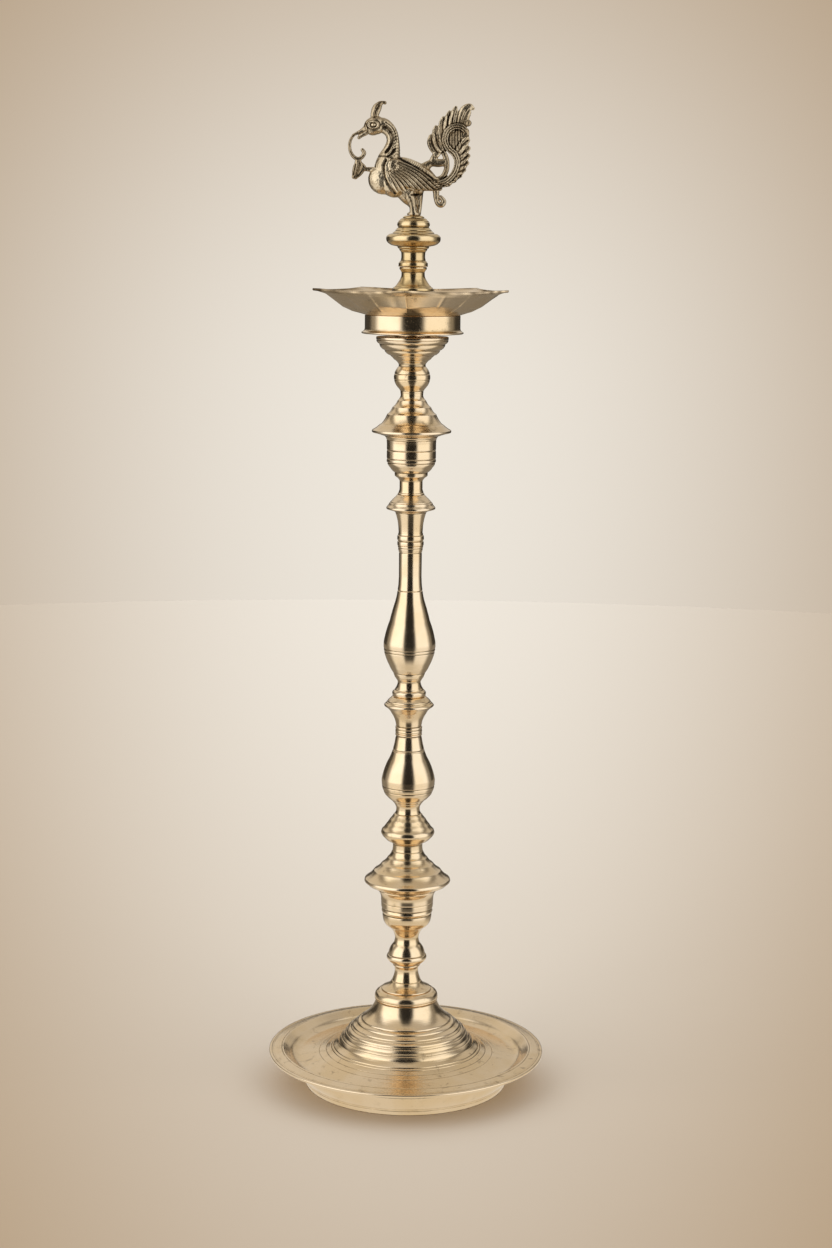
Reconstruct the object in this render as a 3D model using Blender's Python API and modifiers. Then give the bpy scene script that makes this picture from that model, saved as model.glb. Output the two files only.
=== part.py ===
"""Brass standing oil lamp (samai): a dish base, seven turned stem sections, a five-beaked wick bowl
and a bird finial, screwed together end to end on threaded studs. Metres, +Z up, origin on the floor
under the middle of the base, bird facing -X.

Every turned piece is drawn as an outline in millimetres: radius and height above the seat that the
piece stands on, top to bottom. Heights are stretched to the piece's own named length."""

import math

import bmesh
import bpy
from mathutils import Matrix, Vector

MM = 0.001

# Driving dimensions
BASE_RADIUS = 0.1278
BASE_RIM_HEIGHT = 0.031
BASE_RIM_WIDTH = 0.0132
BASE_WALL = 0.0028
SKIRT_INSET_TOP = 0.0253
SKIRT_INSET_FOOT = 0.0346
SKIRT_DROP = 0.0083
DOME_RADIUS = 0.062
PEDESTAL_HEIGHT = 0.0871

LOWER_CUP_LENGTH = 0.0956
LOWER_VASE_LENGTH = 0.1463
COLLAR_LENGTH = 0.0347
TALL_VASE_LENGTH = 0.1410
TRUMPET_LENGTH = 0.0473
UPPER_CUP_LENGTH = 0.0540
BOWL_SUPPORT_LENGTH = 0.0920
POST_LENGTH = 0.0415
KNOB_LENGTH = 0.0470

BOWL_RADIUS = 0.079
BOWL_DEPTH = 0.0215
BOWL_FLOOR_RADIUS = 0.044
BOWL_WALL = 0.0022
BEAK_COUNT = 5
BEAK_REACH = 0.015
BEAK_HALF_ANGLE = 26
FIRST_BEAK_ANGLE = -166.5
FOOT_RING_HEIGHT = 0.0164
FOOT_RING_WALL = 0.002
FOOT_RING_LIP = 0.0026

BOSS_RADIUS = 0.0165
BOSS_NECK_RADIUS = 0.0115
BOSS_WEB = 0.0029

THREAD_RADIUS = 0.006
THREAD_REACH = 0.009
CORE_RADIUS = 0.0042

BIRD_HEIGHT = 0.1058
TAIL_THICKNESS = 0.006
TANG_RADIUS = 0.003
TANG_LENGTH = 0.009

# Clearances
SEAT_GAP = 0.0003
THREAD_GAP = 0.0003
SOCKET_END = 0.0006
BRAZE_GAP = 0.0003

# Fineness of round shapes
TURNED_STEPS = 20
ARC_STEP = math.radians(48)

BRASS = (0.83, 0.64, 0.33, 1)
AGED_BRASS = (0.58, 0.45, 0.24, 1)


def clear_scene():
    for obj in list(bpy.data.objects):
        bpy.data.objects.remove(obj, do_unlink=True)


def new_collection(name):
    collection = bpy.data.collections.new(name)
    bpy.context.scene.collection.children.link(collection)
    return collection


def brass(name, color, roughness):
    material = bpy.data.materials.new(name)
    material.use_nodes = True
    shader = material.node_tree.nodes["Principled BSDF"]
    shader.inputs["Base Color"].default_value = color
    shader.inputs["Metallic"].default_value = 1.0
    shader.inputs["Roughness"].default_value = roughness
    return material


def arc(start, end, bulge):
    """The points after start on the arc to end that stands bulge off its chord, to the left of the run."""
    run = end - start
    chord = run.length
    half = 2 * math.atan(2 * bulge / chord)
    steps = max(2, math.ceil(2 * abs(half) / ARC_STEP))
    left = Vector((-run.y, run.x)) / chord
    points = []
    for step in range(1, steps + 1):
        turn = half * (2 * step / steps - 1)
        along = 0.5 + math.sin(turn) / (2 * math.sin(half))
        off = (math.cos(turn) - math.cos(half)) / (2 * math.sin(half))
        points.append(start + run * along + left * chord * off)
    return points


def outline(moves, length):
    """Outer side of a turned piece, top to bottom, in metres. A move is (radius, height) for a straight
    run, or (radius, height, bulge) for an arc, with bulge outwards positive and inwards negative."""
    stretch = length / (moves[0][1] * MM)
    points = []
    for move in moves:
        end = Vector((move[0], move[1] * stretch)) * MM
        if len(move) == 2:
            points.append(end)
        else:
            points.extend(arc(points[-1], end, move[2] * MM))
    return points


def turned(name, loop, material, collection):
    """One object from an outline loop at +X, running down its outer side, and a full Screw turn about Z."""
    mesh = bpy.data.meshes.new(name)
    edges = [(i, (i + 1) % len(loop)) for i in range(len(loop))]
    mesh.from_pydata([(p[0], 0, p[1]) for p in loop], edges, [])
    obj = bpy.data.objects.new(name, mesh)
    collection.objects.link(obj)
    screw = obj.modifiers.new("Turn", "SCREW")
    screw.steps = TURNED_STEPS
    screw.render_steps = TURNED_STEPS
    screw.use_merge_vertices = True
    screw.merge_threshold = 0.00001
    screw.use_smooth_shade = True
    mesh.materials.append(material)
    return obj


def stand_on(obj, below, height):
    """Puts an object's origin on the lamp's axis, this high above the origin of the piece below it."""
    obj.parent = below
    obj.location = (0, 0, height)


def socket_radius():
    return THREAD_RADIUS + THREAD_GAP


def socket_depth():
    return THREAD_REACH + SOCKET_END


def section(name, moves, length, material, collection):
    """A stem section cast round a core, with a threaded socket at each end."""
    outer = outline(moves, length)
    for point in outer:
        point.y = max(point.y, SEAT_GAP)
    low, high = SEAT_GAP, length
    bore = [
        (socket_radius(), low),
        (socket_radius(), low + socket_depth()),
        (CORE_RADIUS, low + socket_depth()),
        (CORE_RADIUS, high - socket_depth()),
        (socket_radius(), high - socket_depth()),
        (socket_radius(), high),
    ]
    return turned(name, outer + [Vector(p) for p in bore], material, collection)


def stud(name, material, collection):
    """A double-ended threaded stud, its thread drawn at full diameter. It is brazed into the upper
    piece and screws into the lower one, so it reaches the same way below its seat as above."""
    low, high = -THREAD_REACH, SEAT_GAP + THREAD_REACH
    bpy.ops.mesh.primitive_cylinder_add(
        vertices=TURNED_STEPS, radius=THREAD_RADIUS, depth=high - low, location=(0, 0, 0)
    )
    obj = bpy.context.object
    obj.name = name
    obj.data.transform(Matrix.Translation((0, 0, (high + low) / 2)))
    obj.data.materials.append(material)
    obj.data.shade_smooth()
    obj.data.set_sharp_from_angle(angle=math.radians(40))
    for holder in obj.users_collection:
        holder.objects.unlink(obj)
    collection.objects.link(obj)
    return obj


def shifted_in(points, wall):
    """The same line one wall thickness to the right of its run, which is the inside of a shell."""
    moved = []
    for i, point in enumerate(points):
        before, after = points[max(i - 1, 0)], points[min(i + 1, len(points) - 1)]
        run = (after - before).normalized()
        moved.append(point + Vector((run.y, -run.x)) * wall)
    return moved


def base_dish(material, collection):
    """Dish, stepped dome and bell pedestal in one casting, hollow underneath."""
    bell = outline(
        [
            (23.6, 87.1), (28.4, 83.5, 0.8), (28.6, 79.4, 0.9), (28.6, 73.6, 0.9), (28.2, 71.6),
            (33.2, 63.0, -0.9), (41.4, 56.4, -0.7), (42.6, 54.0), (47.2, 51.6), (48.4, 48.4),
            (53.4, 45.6), (54.6, 42.4), (60.6, 39.4), (DOME_RADIUS / MM, 36.4),
        ],
        PEDESTAL_HEIGHT,
    )
    rim_top = BASE_RIM_HEIGHT + 0.0022
    inner_edge = BASE_RADIUS - BASE_RIM_WIDTH
    floor = [
        Vector((DOME_RADIUS + 0.004, BASE_RIM_HEIGHT + 0.001)),
        Vector((inner_edge - 0.0150, BASE_RIM_HEIGHT - 0.0065)),
        Vector((inner_edge - 0.0068, BASE_RIM_HEIGHT - 0.0030)),
        Vector((inner_edge, rim_top)),
    ]
    rim_drop = Vector((0, -BASE_WALL))
    rim = [Vector((BASE_RADIUS, BASE_RIM_HEIGHT)), Vector((BASE_RADIUS, BASE_RIM_HEIGHT)) + rim_drop]
    under_rim = shifted_in(floor + rim[:1], BASE_WALL)
    under_floor = shifted_in([bell[-1], *floor[:2]], BASE_WALL)
    under_bell = shifted_in(bell[5:], BASE_WALL)
    seat_boss = [
        Vector((socket_radius() + 2 * BASE_WALL, bell[0].y - socket_depth() - BASE_WALL)),
        Vector((socket_radius(), bell[0].y - socket_depth() - BASE_WALL)),
        Vector((socket_radius(), bell[0].y)),
    ]
    loop = bell + floor + rim + under_rim[3:0:-1]
    loop += [under_floor[1]] + under_bell[::-1] + seat_boss
    return turned("base_dish", loop, material, collection)


def base_skirt(material, collection):
    """The ring soldered under the dish, which the whole lamp stands on."""
    top = Vector((BASE_RADIUS - SKIRT_INSET_TOP, BASE_RIM_HEIGHT - SKIRT_DROP - BRAZE_GAP))
    foot = Vector((BASE_RADIUS - SKIRT_INSET_FOOT, 0))
    belly = foot + Vector((0.0016, 0.0058))
    loop = [
        top,
        *arc(top, belly, 0.0016),
        foot,
        foot - Vector((BASE_WALL, 0)),
        top - Vector((1.3 * BASE_WALL, BASE_WALL / 2)),
    ]
    return turned("base_skirt", loop, material, collection)


LOWER_CUP = [
    (28.6, 95.6), (24.2, 86.0, -1.2), (24.0, 78.4), (23.2, 77.6), (23.6, 75.1), (22.8, 72.3),
    (22.5, 69.0), (16.6, 59.4, 1.4), (10.9, 49.0, -0.8), (12.4, 43.4, -0.2), (18.7, 32.0, 0.9),
    (14.4, 24.7, 1.3), (12.1, 22.9), (11.1, 18.2), (12.3, 11.7, -0.3), (21.6, 1.6, -1.6), (23.3, 0),
]
LOWER_VASE = [
    (12.3, 146.3), (11.9, 144.0), (14.5, 131.4), (17.8, 123.0), (24.6, 103.0, 1.0), (22.4, 91.3, 0.9),
    (15.6, 83.9, 0.6), (13.8, 81.5), (10.9, 75.5, -0.5), (12.8, 70.6, -0.3), (23.6, 57.0),
    (24.6, 52.8), (17.6, 44.7, 0.6), (13.7, 42.5), (14.5, 35.4), (39.2, 9.6, -2.4), (39.7, 7.4),
    (36.2, 3.7), (28.9, 0),
]
COLLAR = [
    (15.8, 34.7), (23.0, 26.9), (22.4, 25.2), (14.2, 15.8, -0.8), (11.7, 7.0), (12.5, 5.6), (12.4, 0),
]
TALL_VASE = [
    (11.6, 141.0), (11.4, 135.4), (10.6, 134.0), (10.6, 110.0), (11.6, 99.0), (18.7, 70.6),
    (24.1, 49.5, 1.1), (23.2, 41.0), (14.2, 20.3, 0.7), (10.5, 13.8), (12.4, 7.4), (15.6, 3.4, 0.4),
    (14.6, 0),
]
TRUMPET = [
    (12.6, 47.3), (22.5, 35.4, 0.6), (21.8, 33.9), (15.4, 31.9), (11.1, 13.0, -0.9), (12.2, 9.4),
    (12.1, 0),
]
UPPER_CUP = [
    (24.6, 54.0), (22.7, 48.5, -0.4), (22.7, 30.5), (16.2, 20.9, 1.7), (14.6, 16.8), (10.6, 12.8),
    (10.6, 6.3), (12.6, 0, -0.4),
]
BOWL_SUPPORT = [
    (33.2, 92.0), (33.3, 89.6), (30.9, 85.2, 0.6), (26.6, 79.6, 0.5), (18.0, 73.0, 0.5), (15.8, 70.2),
    (12.2, 66.0, -0.4), (16.8, 54.0, 1.1), (11.6, 43.6, 1.2), (10.3, 37.4), (16.3, 27.9, -0.6),
    (36.2, 5.6, -2.4), (36.2, 4.0), (24.9, 0),
]
FINIAL_POST = [
    (12.2, 41.5), (12.5, 39.4), (10.8, 37.0), (10.6, 33.0), (15.8, 24.2, -0.9), (18.6, 22.4),
    (20.2, 19.6), (26.4, 5.2, -1.2), (27.0, 0),
]
FINIAL_KNOB = [
    (6.6, 47.0), (14.8, 39.9, 1.4), (14.2, 36.4), (19.3, 31.1), (25.0, 26.4, 0.7), (24.4, 24.0),
    (18.2, 19.4), (12.9, 16.6), (11.1, 11.6), (13.4, 2.4, -0.5), (13.4, 0),
]


def knob(material, collection):
    """The finial knob: a stud socket below, and a plain hole above for the bird's tang."""
    outer = outline(FINIAL_KNOB, KNOB_LENGTH)
    outer[-1].y = SEAT_GAP
    hole = TANG_RADIUS + BRAZE_GAP
    tang_floor = KNOB_LENGTH - TANG_LENGTH - SOCKET_END
    bore = [
        (socket_radius(), SEAT_GAP),
        (socket_radius(), SEAT_GAP + socket_depth()),
        (hole, SEAT_GAP + socket_depth()),
        (hole, tang_floor),
        (hole, KNOB_LENGTH),
    ]
    return turned("finial_knob", outer + [Vector(p) for p in bore], material, collection)


def boss_length():
    return 2 * socket_depth() + SEAT_GAP + BOSS_WEB


def bowl_underside():
    """Height of the bowl's underside above the seat of its boss."""
    return boss_length() - BOWL_WALL - BRAZE_GAP


def bowl_boss(material, collection):
    """The boss brazed through the bowl's middle, with a blind socket at each end so no oil gets by."""
    shoulder = bowl_underside() - BRAZE_GAP
    top, low = boss_length(), SEAT_GAP
    loop = [
        (0, top - socket_depth()),
        (socket_radius(), top - socket_depth()),
        (socket_radius(), top),
        (BOSS_NECK_RADIUS, top),
        (BOSS_NECK_RADIUS, shoulder),
        (BOSS_RADIUS, shoulder),
        (BOSS_RADIUS, low),
        (socket_radius(), low),
        (socket_radius(), low + socket_depth()),
        (0, low + socket_depth()),
    ]
    obj = turned("bowl_boss", [Vector(p) for p in loop], material, collection)
    edge = bmesh.new()
    edge.from_mesh(obj.data)
    edge.edges.ensure_lookup_table()
    on_axis = [e for e in edge.edges if all(v.co.x == 0 for v in e.verts)]
    bmesh.ops.delete(edge, geom=on_axis, context="EDGES")
    edge.to_mesh(obj.data)
    edge.free()
    return obj


def bowl_point(angle, share):
    """A point of the bowl's underside. share runs from 0 at the foot ring to 1 at the rim. Towards the
    middle of a beak the wall swells into a keel and the rim reaches out to a point."""
    pitch = 360 / BEAK_COUNT
    off_beak = abs((angle - FIRST_BEAK_ANGLE + pitch / 2) % pitch - pitch / 2)
    near = max(0.0, 1 - off_beak / BEAK_HALF_ANGLE)
    point_out = BEAK_REACH * near ** 2.2 * share ** 3
    keel = 0.006 * math.sin(math.pi * share) * near ** 0.8
    radius = BOWL_FLOOR_RADIUS + (BOWL_RADIUS - BOWL_FLOOR_RADIUS) * share ** 0.93 + point_out
    height = BOWL_DEPTH * share ** 1.12 - keel * 0.55
    turn = math.radians(angle)
    return ((radius + keel * 0.5) * math.cos(turn), (radius + keel * 0.5) * math.sin(turn), height)


def wick_bowl(material, collection):
    """The oil bowl: a flat floor and a wall lofted from a circle up to the rim's five pointed beaks."""
    columns = []
    pitch = 360 / BEAK_COUNT
    for beak in range(BEAK_COUNT):
        middle = FIRST_BEAK_ANGLE + beak * pitch
        for share in (-1.0, -0.55, -0.22, 0.0, 0.22, 0.55, 1.0):
            columns.append(middle + share * BEAK_HALF_ANGLE)
        columns.append(middle + pitch / 2)
    rings = [0.0, 0.3, 0.6, 0.85, 1.0]
    hole = BOSS_NECK_RADIUS + BRAZE_GAP
    points = []
    for angle in columns:
        turn = math.radians(angle)
        points.append((hole * math.cos(turn), hole * math.sin(turn), 0))
    for share in rings:
        points.extend(bowl_point(angle, share) for angle in columns)
    count = len(columns)
    faces = []
    for ring in range(len(rings)):
        for i in range(count):
            after = (i + 1) % count
            low, high = ring * count, (ring + 1) * count
            faces.append((low + i, high + i, high + after, low + after))
    mesh = bpy.data.meshes.new("wick_bowl")
    mesh.from_pydata(points, [], faces)
    mesh.materials.append(material)
    mesh.shade_smooth()
    obj = bpy.data.objects.new("wick_bowl", mesh)
    collection.objects.link(obj)
    wall = obj.modifiers.new("Wall", "SOLIDIFY")
    wall.thickness = BOWL_WALL
    wall.offset = 1
    return obj


def foot_ring(material, collection):
    """The ring soldered under the bowl, with a small lip round its lower edge."""
    outer, inner = BOWL_FLOOR_RADIUS, BOWL_FLOOR_RADIUS - FOOT_RING_WALL
    loop = [
        (outer, -BRAZE_GAP),
        (outer, -FOOT_RING_HEIGHT + 0.0016),
        (outer + FOOT_RING_LIP, -FOOT_RING_HEIGHT),
        (outer + FOOT_RING_LIP, -FOOT_RING_HEIGHT - 0.001),
        (inner, -FOOT_RING_HEIGHT - 0.001),
        (inner, -BRAZE_GAP),
    ]
    return turned("bowl_foot_ring", [Vector(p) for p in loop], material, collection)


# The bird is drawn in millimetres from the middle of its feet, as (x, height).
TAIL_EDGE = [
    (8, 30), (14.4, 47), (17.2, 53.5), (18.9, 59.5), (13.4, 67.8), (16.3, 74.5), (19.7, 82.4),
    (23.8, 88.5), (31.2, 95.4), (38, 99.3), (43, 102), (49.7, 103.2), (55.1, 97.8), (51.4, 94.5),
    (49.7, 90.2), (52.2, 84.3), (49.9, 72), (53.4, 63.8), (52.7, 55.4), (49.7, 40.5), (45.2, 34.9),
    (39.6, 27.9), (29.7, 22), (16, 22),
]
TAIL_WINDOW = [(15.5, 44.5), (27.5, 44.5), (26.5, 40), (21.5, 36.8), (16.8, 39.6)]
TAIL_SLIT = [(36.3, 55.5), (38.2, 50), (37.4, 43), (33, 35.8), (32, 41), (34, 48.5)]

# Round members of the casting: (x, y, height, radius) along each one
BIRD_TUBES = {
    "neck": [
        (-35, 0, 82, 7.6), (-27, 0, 79.6, 6.6), (-21.5, 0, 72.6, 5.7), (-18.8, 0, 64, 6.6),
        (-20, 0, 55.5, 9.8), (-24, 0, 44, 12.4),
    ],
    "crest": [(-34, 0, 86, 3.4), (-34.4, 0, 94, 4.0), (-32, 0, 101, 3.8), (-27.4, 0, 103.4, 2.4)],
    "beak": [(-40, 0, 77.5, 4.6), (-49, 0, 73.6, 3.4), (-55.4, 0, 71.4, 1.8)],
    "vine": [
        (-54, 0, 71.5, 1.7), (-57.6, 0, 67, 1.6), (-59, 0, 61.5, 1.6), (-58, 0, 56, 1.7),
        (-54.4, 0, 51.6, 1.9), (-49.8, 0, 52.6, 1.7), (-46.6, 0, 57, 1.9), (-48.6, 0, 60, 1.5),
    ],
    "bud": [(-54.2, 0, 52.5, 2.2), (-52, 0, 45, 5.0), (-54.4, 0, 38, 3.8), (-56.6, 0, 33.6, 1.8)],
    "bud_stalk": [(-52, 0, 41.5, 2.4), (-38, 0, 39.5, 2.8)],
    "near_leg": [(1.4, -3, 22, 4.4), (0.6, -3, 10, 3.2), (1.0, -2.4, 1.4, 3.2)],
    "far_leg": [(6, 3, 22, 4.0), (5, 3, 10, 2.9), (4.2, 2.4, 1.4, 2.9)],
    "claw": [(20, 0, 23, 2.4), (21.6, 0, 14, 2.2), (25, 0, 9.4, 2.4), (29, 0, 12.6, 2.6)],
}
# Rounded members: centre (x, y, height), half sizes, and tilt in degrees, tail end down
BIRD_LUMPS = {
    "head": ((-36.4, 0, 81.1), (9.5, 8.4, 9.3), 0),
    "near_wing": ((1, -10.4, 32.5), (30, 3.4, 10.2), 14),
    "far_wing": ((1, 10.4, 32.5), (30, 3.4, 10.2), 14),
}
BIRD_BODY = ((-11.5, 0, 35.5), (32.5, 12.6, 17.2), 10)
BIRD_DRAWN_HEIGHT = 105.8


def bird_scale():
    """Metres for each drawn millimetre of the bird."""
    return BIRD_HEIGHT / BIRD_DRAWN_HEIGHT


def as_helper(obj, collection):
    obj.hide_render = True
    obj.display_type = "WIRE"
    for holder in obj.users_collection:
        holder.objects.unlink(obj)
    collection.objects.link(obj)


def mesh_of_curve(obj):
    """The curve's solid as a mesh object with its caps welded on."""
    bpy.context.view_layer.update()
    graph = bpy.context.evaluated_depsgraph_get()
    mesh = bpy.data.meshes.new_from_object(obj.evaluated_get(graph))
    weld = bmesh.new()
    weld.from_mesh(mesh)
    bmesh.ops.remove_doubles(weld, verts=weld.verts, dist=0.00001)
    bmesh.ops.recalc_face_normals(weld, faces=weld.faces)
    weld.to_mesh(mesh)
    weld.free()
    solid = bpy.data.objects.new(obj.name + "_solid", mesh)
    solid.matrix_world = obj.matrix_world
    bpy.context.scene.collection.objects.link(solid)
    bpy.data.objects.remove(obj, do_unlink=True)
    return solid


def bird_tube(name, stations):
    """A round member that changes thickness along a smooth line through its stations."""
    curve = bpy.data.curves.new(name, "CURVE")
    curve.dimensions = "3D"
    curve.bevel_depth = bird_scale()
    curve.bevel_resolution = 1
    curve.use_fill_caps = True
    spline = curve.splines.new("POLY")
    spline.points.add(len(stations) - 1)
    for point, (x, y, height, radius) in zip(spline.points, stations):
        point.co = (*(Vector((x, y, height)) * bird_scale()), 1)
        point.radius = radius
    obj = bpy.data.objects.new(name, curve)
    bpy.context.scene.collection.objects.link(obj)
    return mesh_of_curve(obj)


def bird_lump(name, centre, half_sizes, tilt, segments, rings):
    bpy.ops.mesh.primitive_uv_sphere_add(segments=segments, ring_count=rings, radius=1)
    obj = bpy.context.object
    obj.name = name
    size = Matrix.Diagonal(Vector(half_sizes) * bird_scale()).to_4x4()
    turn = Matrix.Rotation(math.radians(tilt), 4, "Y")
    place = Matrix.Translation(Vector(centre) * bird_scale())
    obj.data.transform(place @ turn @ size)
    return obj


def bird_tail():
    """The flat upswept tail, cut through by two windows."""
    curve = bpy.data.curves.new("tail", "CURVE")
    curve.dimensions = "2D"
    curve.fill_mode = "BOTH"
    curve.extrude = TAIL_THICKNESS / 2
    for edge in (TAIL_EDGE, TAIL_WINDOW, TAIL_SLIT):
        spline = curve.splines.new("POLY")
        spline.points.add(len(edge) - 1)
        for point, (x, height) in zip(spline.points, edge):
            point.co = (x * bird_scale(), height * bird_scale(), 0, 1)
        spline.use_cyclic_u = True
    obj = bpy.data.objects.new("tail", curve)
    obj.rotation_euler = (math.pi / 2, 0, 0)
    bpy.context.scene.collection.objects.link(obj)
    return mesh_of_curve(obj)


def bird_foot():
    """The pad under the feet and the tang that is brazed into the knob."""
    pad_radius, pad_top = 0.0062, 0.0028
    low = SEAT_GAP
    loop = [
        (0, pad_top), (pad_radius - 0.001, pad_top), (pad_radius, low),
        (TANG_RADIUS, low), (TANG_RADIUS, -TANG_LENGTH), (0, -TANG_LENGTH),
    ]
    mesh = bpy.data.meshes.new("foot")
    mesh.from_pydata([(r, 0, z) for r, z in loop], [(i, i + 1) for i in range(len(loop) - 1)], [])
    obj = bpy.data.objects.new("foot", mesh)
    bpy.context.scene.collection.objects.link(obj)
    screw = obj.modifiers.new("Turn", "SCREW")
    screw.steps = 12
    screw.render_steps = 12
    screw.use_merge_vertices = True
    screw.merge_threshold = 0.00001
    return obj


def bird_finial(material, collection, helpers):
    """The bird casting: a body joined with its neck, head, crest, beak, vine, tail, wings and legs."""
    body = bird_lump("bird_finial", *BIRD_BODY, 16, 10)
    members = [bird_lump(name, *BIRD_LUMPS[name], 14, 8) for name in BIRD_LUMPS]
    members += [bird_tube(name, BIRD_TUBES[name]) for name in BIRD_TUBES]
    members += [bird_tail(), bird_foot()]
    for member in members:
        as_helper(member, helpers)
        joined = body.modifiers.new(member.name, "BOOLEAN")
        joined.operation = "UNION"
        joined.solver = "EXACT"
        joined.object = member
    for holder in body.users_collection:
        holder.objects.unlink(body)
    collection.objects.link(body)
    body.data.materials.append(material)
    for member in members:
        member.parent = body
    return body


STEM = [
    ("lower_cup_section", LOWER_CUP, LOWER_CUP_LENGTH),
    ("lower_vase_section", LOWER_VASE, LOWER_VASE_LENGTH),
    ("collar_section", COLLAR, COLLAR_LENGTH),
    ("tall_vase_section", TALL_VASE, TALL_VASE_LENGTH),
    ("trumpet_section", TRUMPET, TRUMPET_LENGTH),
    ("upper_cup_section", UPPER_CUP, UPPER_CUP_LENGTH),
    ("bowl_support", BOWL_SUPPORT, BOWL_SUPPORT_LENGTH),
]


def main():
    clear_scene()
    lamp = new_collection("samai_oil_lamp")
    helpers = new_collection("bird_members")
    polished = brass("polished_brass", BRASS, 0.22)
    aged = brass("aged_brass", AGED_BRASS, 0.38)

    below = base_dish(polished, lamp)
    stand_on(base_skirt(polished, lamp), below, 0)
    seat = PEDESTAL_HEIGHT
    for name, moves, length in STEM:
        pin = stud(name + "_stud", polished, lamp)
        stand_on(pin, below, seat)
        piece = section(name, moves, length, polished, lamp)
        stand_on(piece, pin, 0)
        below, seat = piece, length

    pin = stud("bowl_stud", polished, lamp)
    stand_on(pin, below, seat)
    boss = bowl_boss(polished, lamp)
    stand_on(boss, pin, 0)
    stand_on(wick_bowl(polished, lamp), boss, bowl_underside())
    stand_on(foot_ring(polished, lamp), boss, bowl_underside())

    pin = stud("finial_post_stud", polished, lamp)
    stand_on(pin, boss, boss_length())
    post = section("finial_post", FINIAL_POST, POST_LENGTH, polished, lamp)
    stand_on(post, pin, 0)

    pin = stud("finial_knob_stud", polished, lamp)
    stand_on(pin, post, POST_LENGTH)
    top = knob(polished, lamp)
    stand_on(top, pin, 0)
    stand_on(bird_finial(aged, lamp, helpers), top, KNOB_LENGTH)


main()
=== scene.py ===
"""The looks of a brass standing oil lamp (samai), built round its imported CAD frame. Metres, +Z up,
the bird facing -X. The file goes through the lamp from the floor up, one section for each piece."""

import math

import bmesh
import bpy
import numpy as np
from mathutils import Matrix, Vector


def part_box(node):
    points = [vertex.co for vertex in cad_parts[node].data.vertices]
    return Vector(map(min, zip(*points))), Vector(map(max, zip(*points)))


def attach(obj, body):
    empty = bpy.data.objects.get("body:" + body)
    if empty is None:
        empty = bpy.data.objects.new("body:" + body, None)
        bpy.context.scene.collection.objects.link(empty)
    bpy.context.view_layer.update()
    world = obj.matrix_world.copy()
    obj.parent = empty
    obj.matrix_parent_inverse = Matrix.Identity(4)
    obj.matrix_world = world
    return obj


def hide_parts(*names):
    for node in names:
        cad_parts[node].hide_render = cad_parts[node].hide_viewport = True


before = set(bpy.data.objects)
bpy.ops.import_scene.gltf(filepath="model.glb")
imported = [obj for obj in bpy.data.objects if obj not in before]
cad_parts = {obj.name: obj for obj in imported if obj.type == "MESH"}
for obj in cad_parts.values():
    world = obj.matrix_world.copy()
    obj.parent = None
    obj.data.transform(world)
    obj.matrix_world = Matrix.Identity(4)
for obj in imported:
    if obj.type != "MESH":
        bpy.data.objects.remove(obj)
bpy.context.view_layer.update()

MM = 0.001

# ---------------------------------------------------------------------------
# The studio: a pale floor that curves up into a backdrop all round, a wide
# window of light on each side of the camera and a dark gap between them.
# ---------------------------------------------------------------------------


class Value:
    """An output in a node tree. Arithmetic on it adds the Math nodes that work it out."""

    def __init__(self, paint, socket):
        self.paint, self.socket = paint, socket

    def math(self, operation, *others):
        """A Math node on this value and any others, in that order."""
        return self.paint.math(operation, self, *others)

    def __add__(self, other):
        return self.math("ADD", other)

    __radd__ = __add__

    def __mul__(self, other):
        return self.math("MULTIPLY", other)

    __rmul__ = __mul__

    def __sub__(self, other):
        return self.math("SUBTRACT", other)

    def __rsub__(self, other):
        return self.paint.math("SUBTRACT", other, self)

    def __truediv__(self, other):
        return self.math("DIVIDE", other)

    def __pow__(self, other):
        return self.math("POWER", other)

    def least(self, other):
        return self.math("MINIMUM", other)

    def most(self, other):
        return self.math("MAXIMUM", other)

    def rise(self, low, high):
        """0 below low, 1 above high, and a smooth step between them."""
        settings = {"interpolation_type": "SMOOTHSTEP"}
        return self.paint.add("MapRange", settings, {"Value": self, "From Min": low, "From Max": high})


class Paint:
    """A node tree being filled. add() makes every node in it."""

    def __init__(self, tree):
        self.tree = tree
        tree.nodes.clear()

    def add(self, kind, settings=None, inputs=None, output=0):
        """A shader node of this type: its settings are set first, then its sockets' values or links."""
        made = self.tree.nodes.new("ShaderNode" + kind)
        for key, value in (settings or {}).items():
            setattr(made, key, value)
        for key, value in (inputs or {}).items():
            if isinstance(value, Value):
                self.tree.links.new(value.socket, made.inputs[key])
            else:
                made.inputs[key].default_value = value
        return Value(self, made.outputs[output]) if made.outputs else None

    def math(self, operation, *terms):
        return self.add("Math", {"operation": operation}, dict(enumerate(terms)))

    def mix(self, share, low, high):
        """The colour low where share is 0 and high where it is 1."""
        return self.add("Mix", {"data_type": "RGBA"}, {0: share, 6: low, 7: high}, 2)

    def place(self):
        """Object coordinates, which are metres in the lamp's own frame."""
        return self.add("TexCoord", output="Object")

    def split(self, vector):
        """The three parts of a vector."""
        outputs = self.add("SeparateXYZ", inputs={0: vector}).socket.node.outputs
        return [Value(self, outputs[axis]) for axis in range(3)]

    def bearing(self, x, y):
        """Degrees round the lamp, alike to both sides: 0 towards -Y, where the camera is, and 180
        behind."""
        return x.math("ABSOLUTE").math("ARCTAN2", 0 - y) * (180 / math.pi)

    def noise(self, scale, detail=2.0, roughness=0.5, distortion=0.0):
        inputs = {"Scale": scale, "Detail": detail, "Roughness": roughness, "Distortion": distortion}
        return self.add("TexNoise", inputs={"Vector": self.place(), **inputs})

    def read(self, name):
        """A number stored on the mesh's points."""
        return self.add("Attribute", {"attribute_name": name}, output="Fac")


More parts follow.
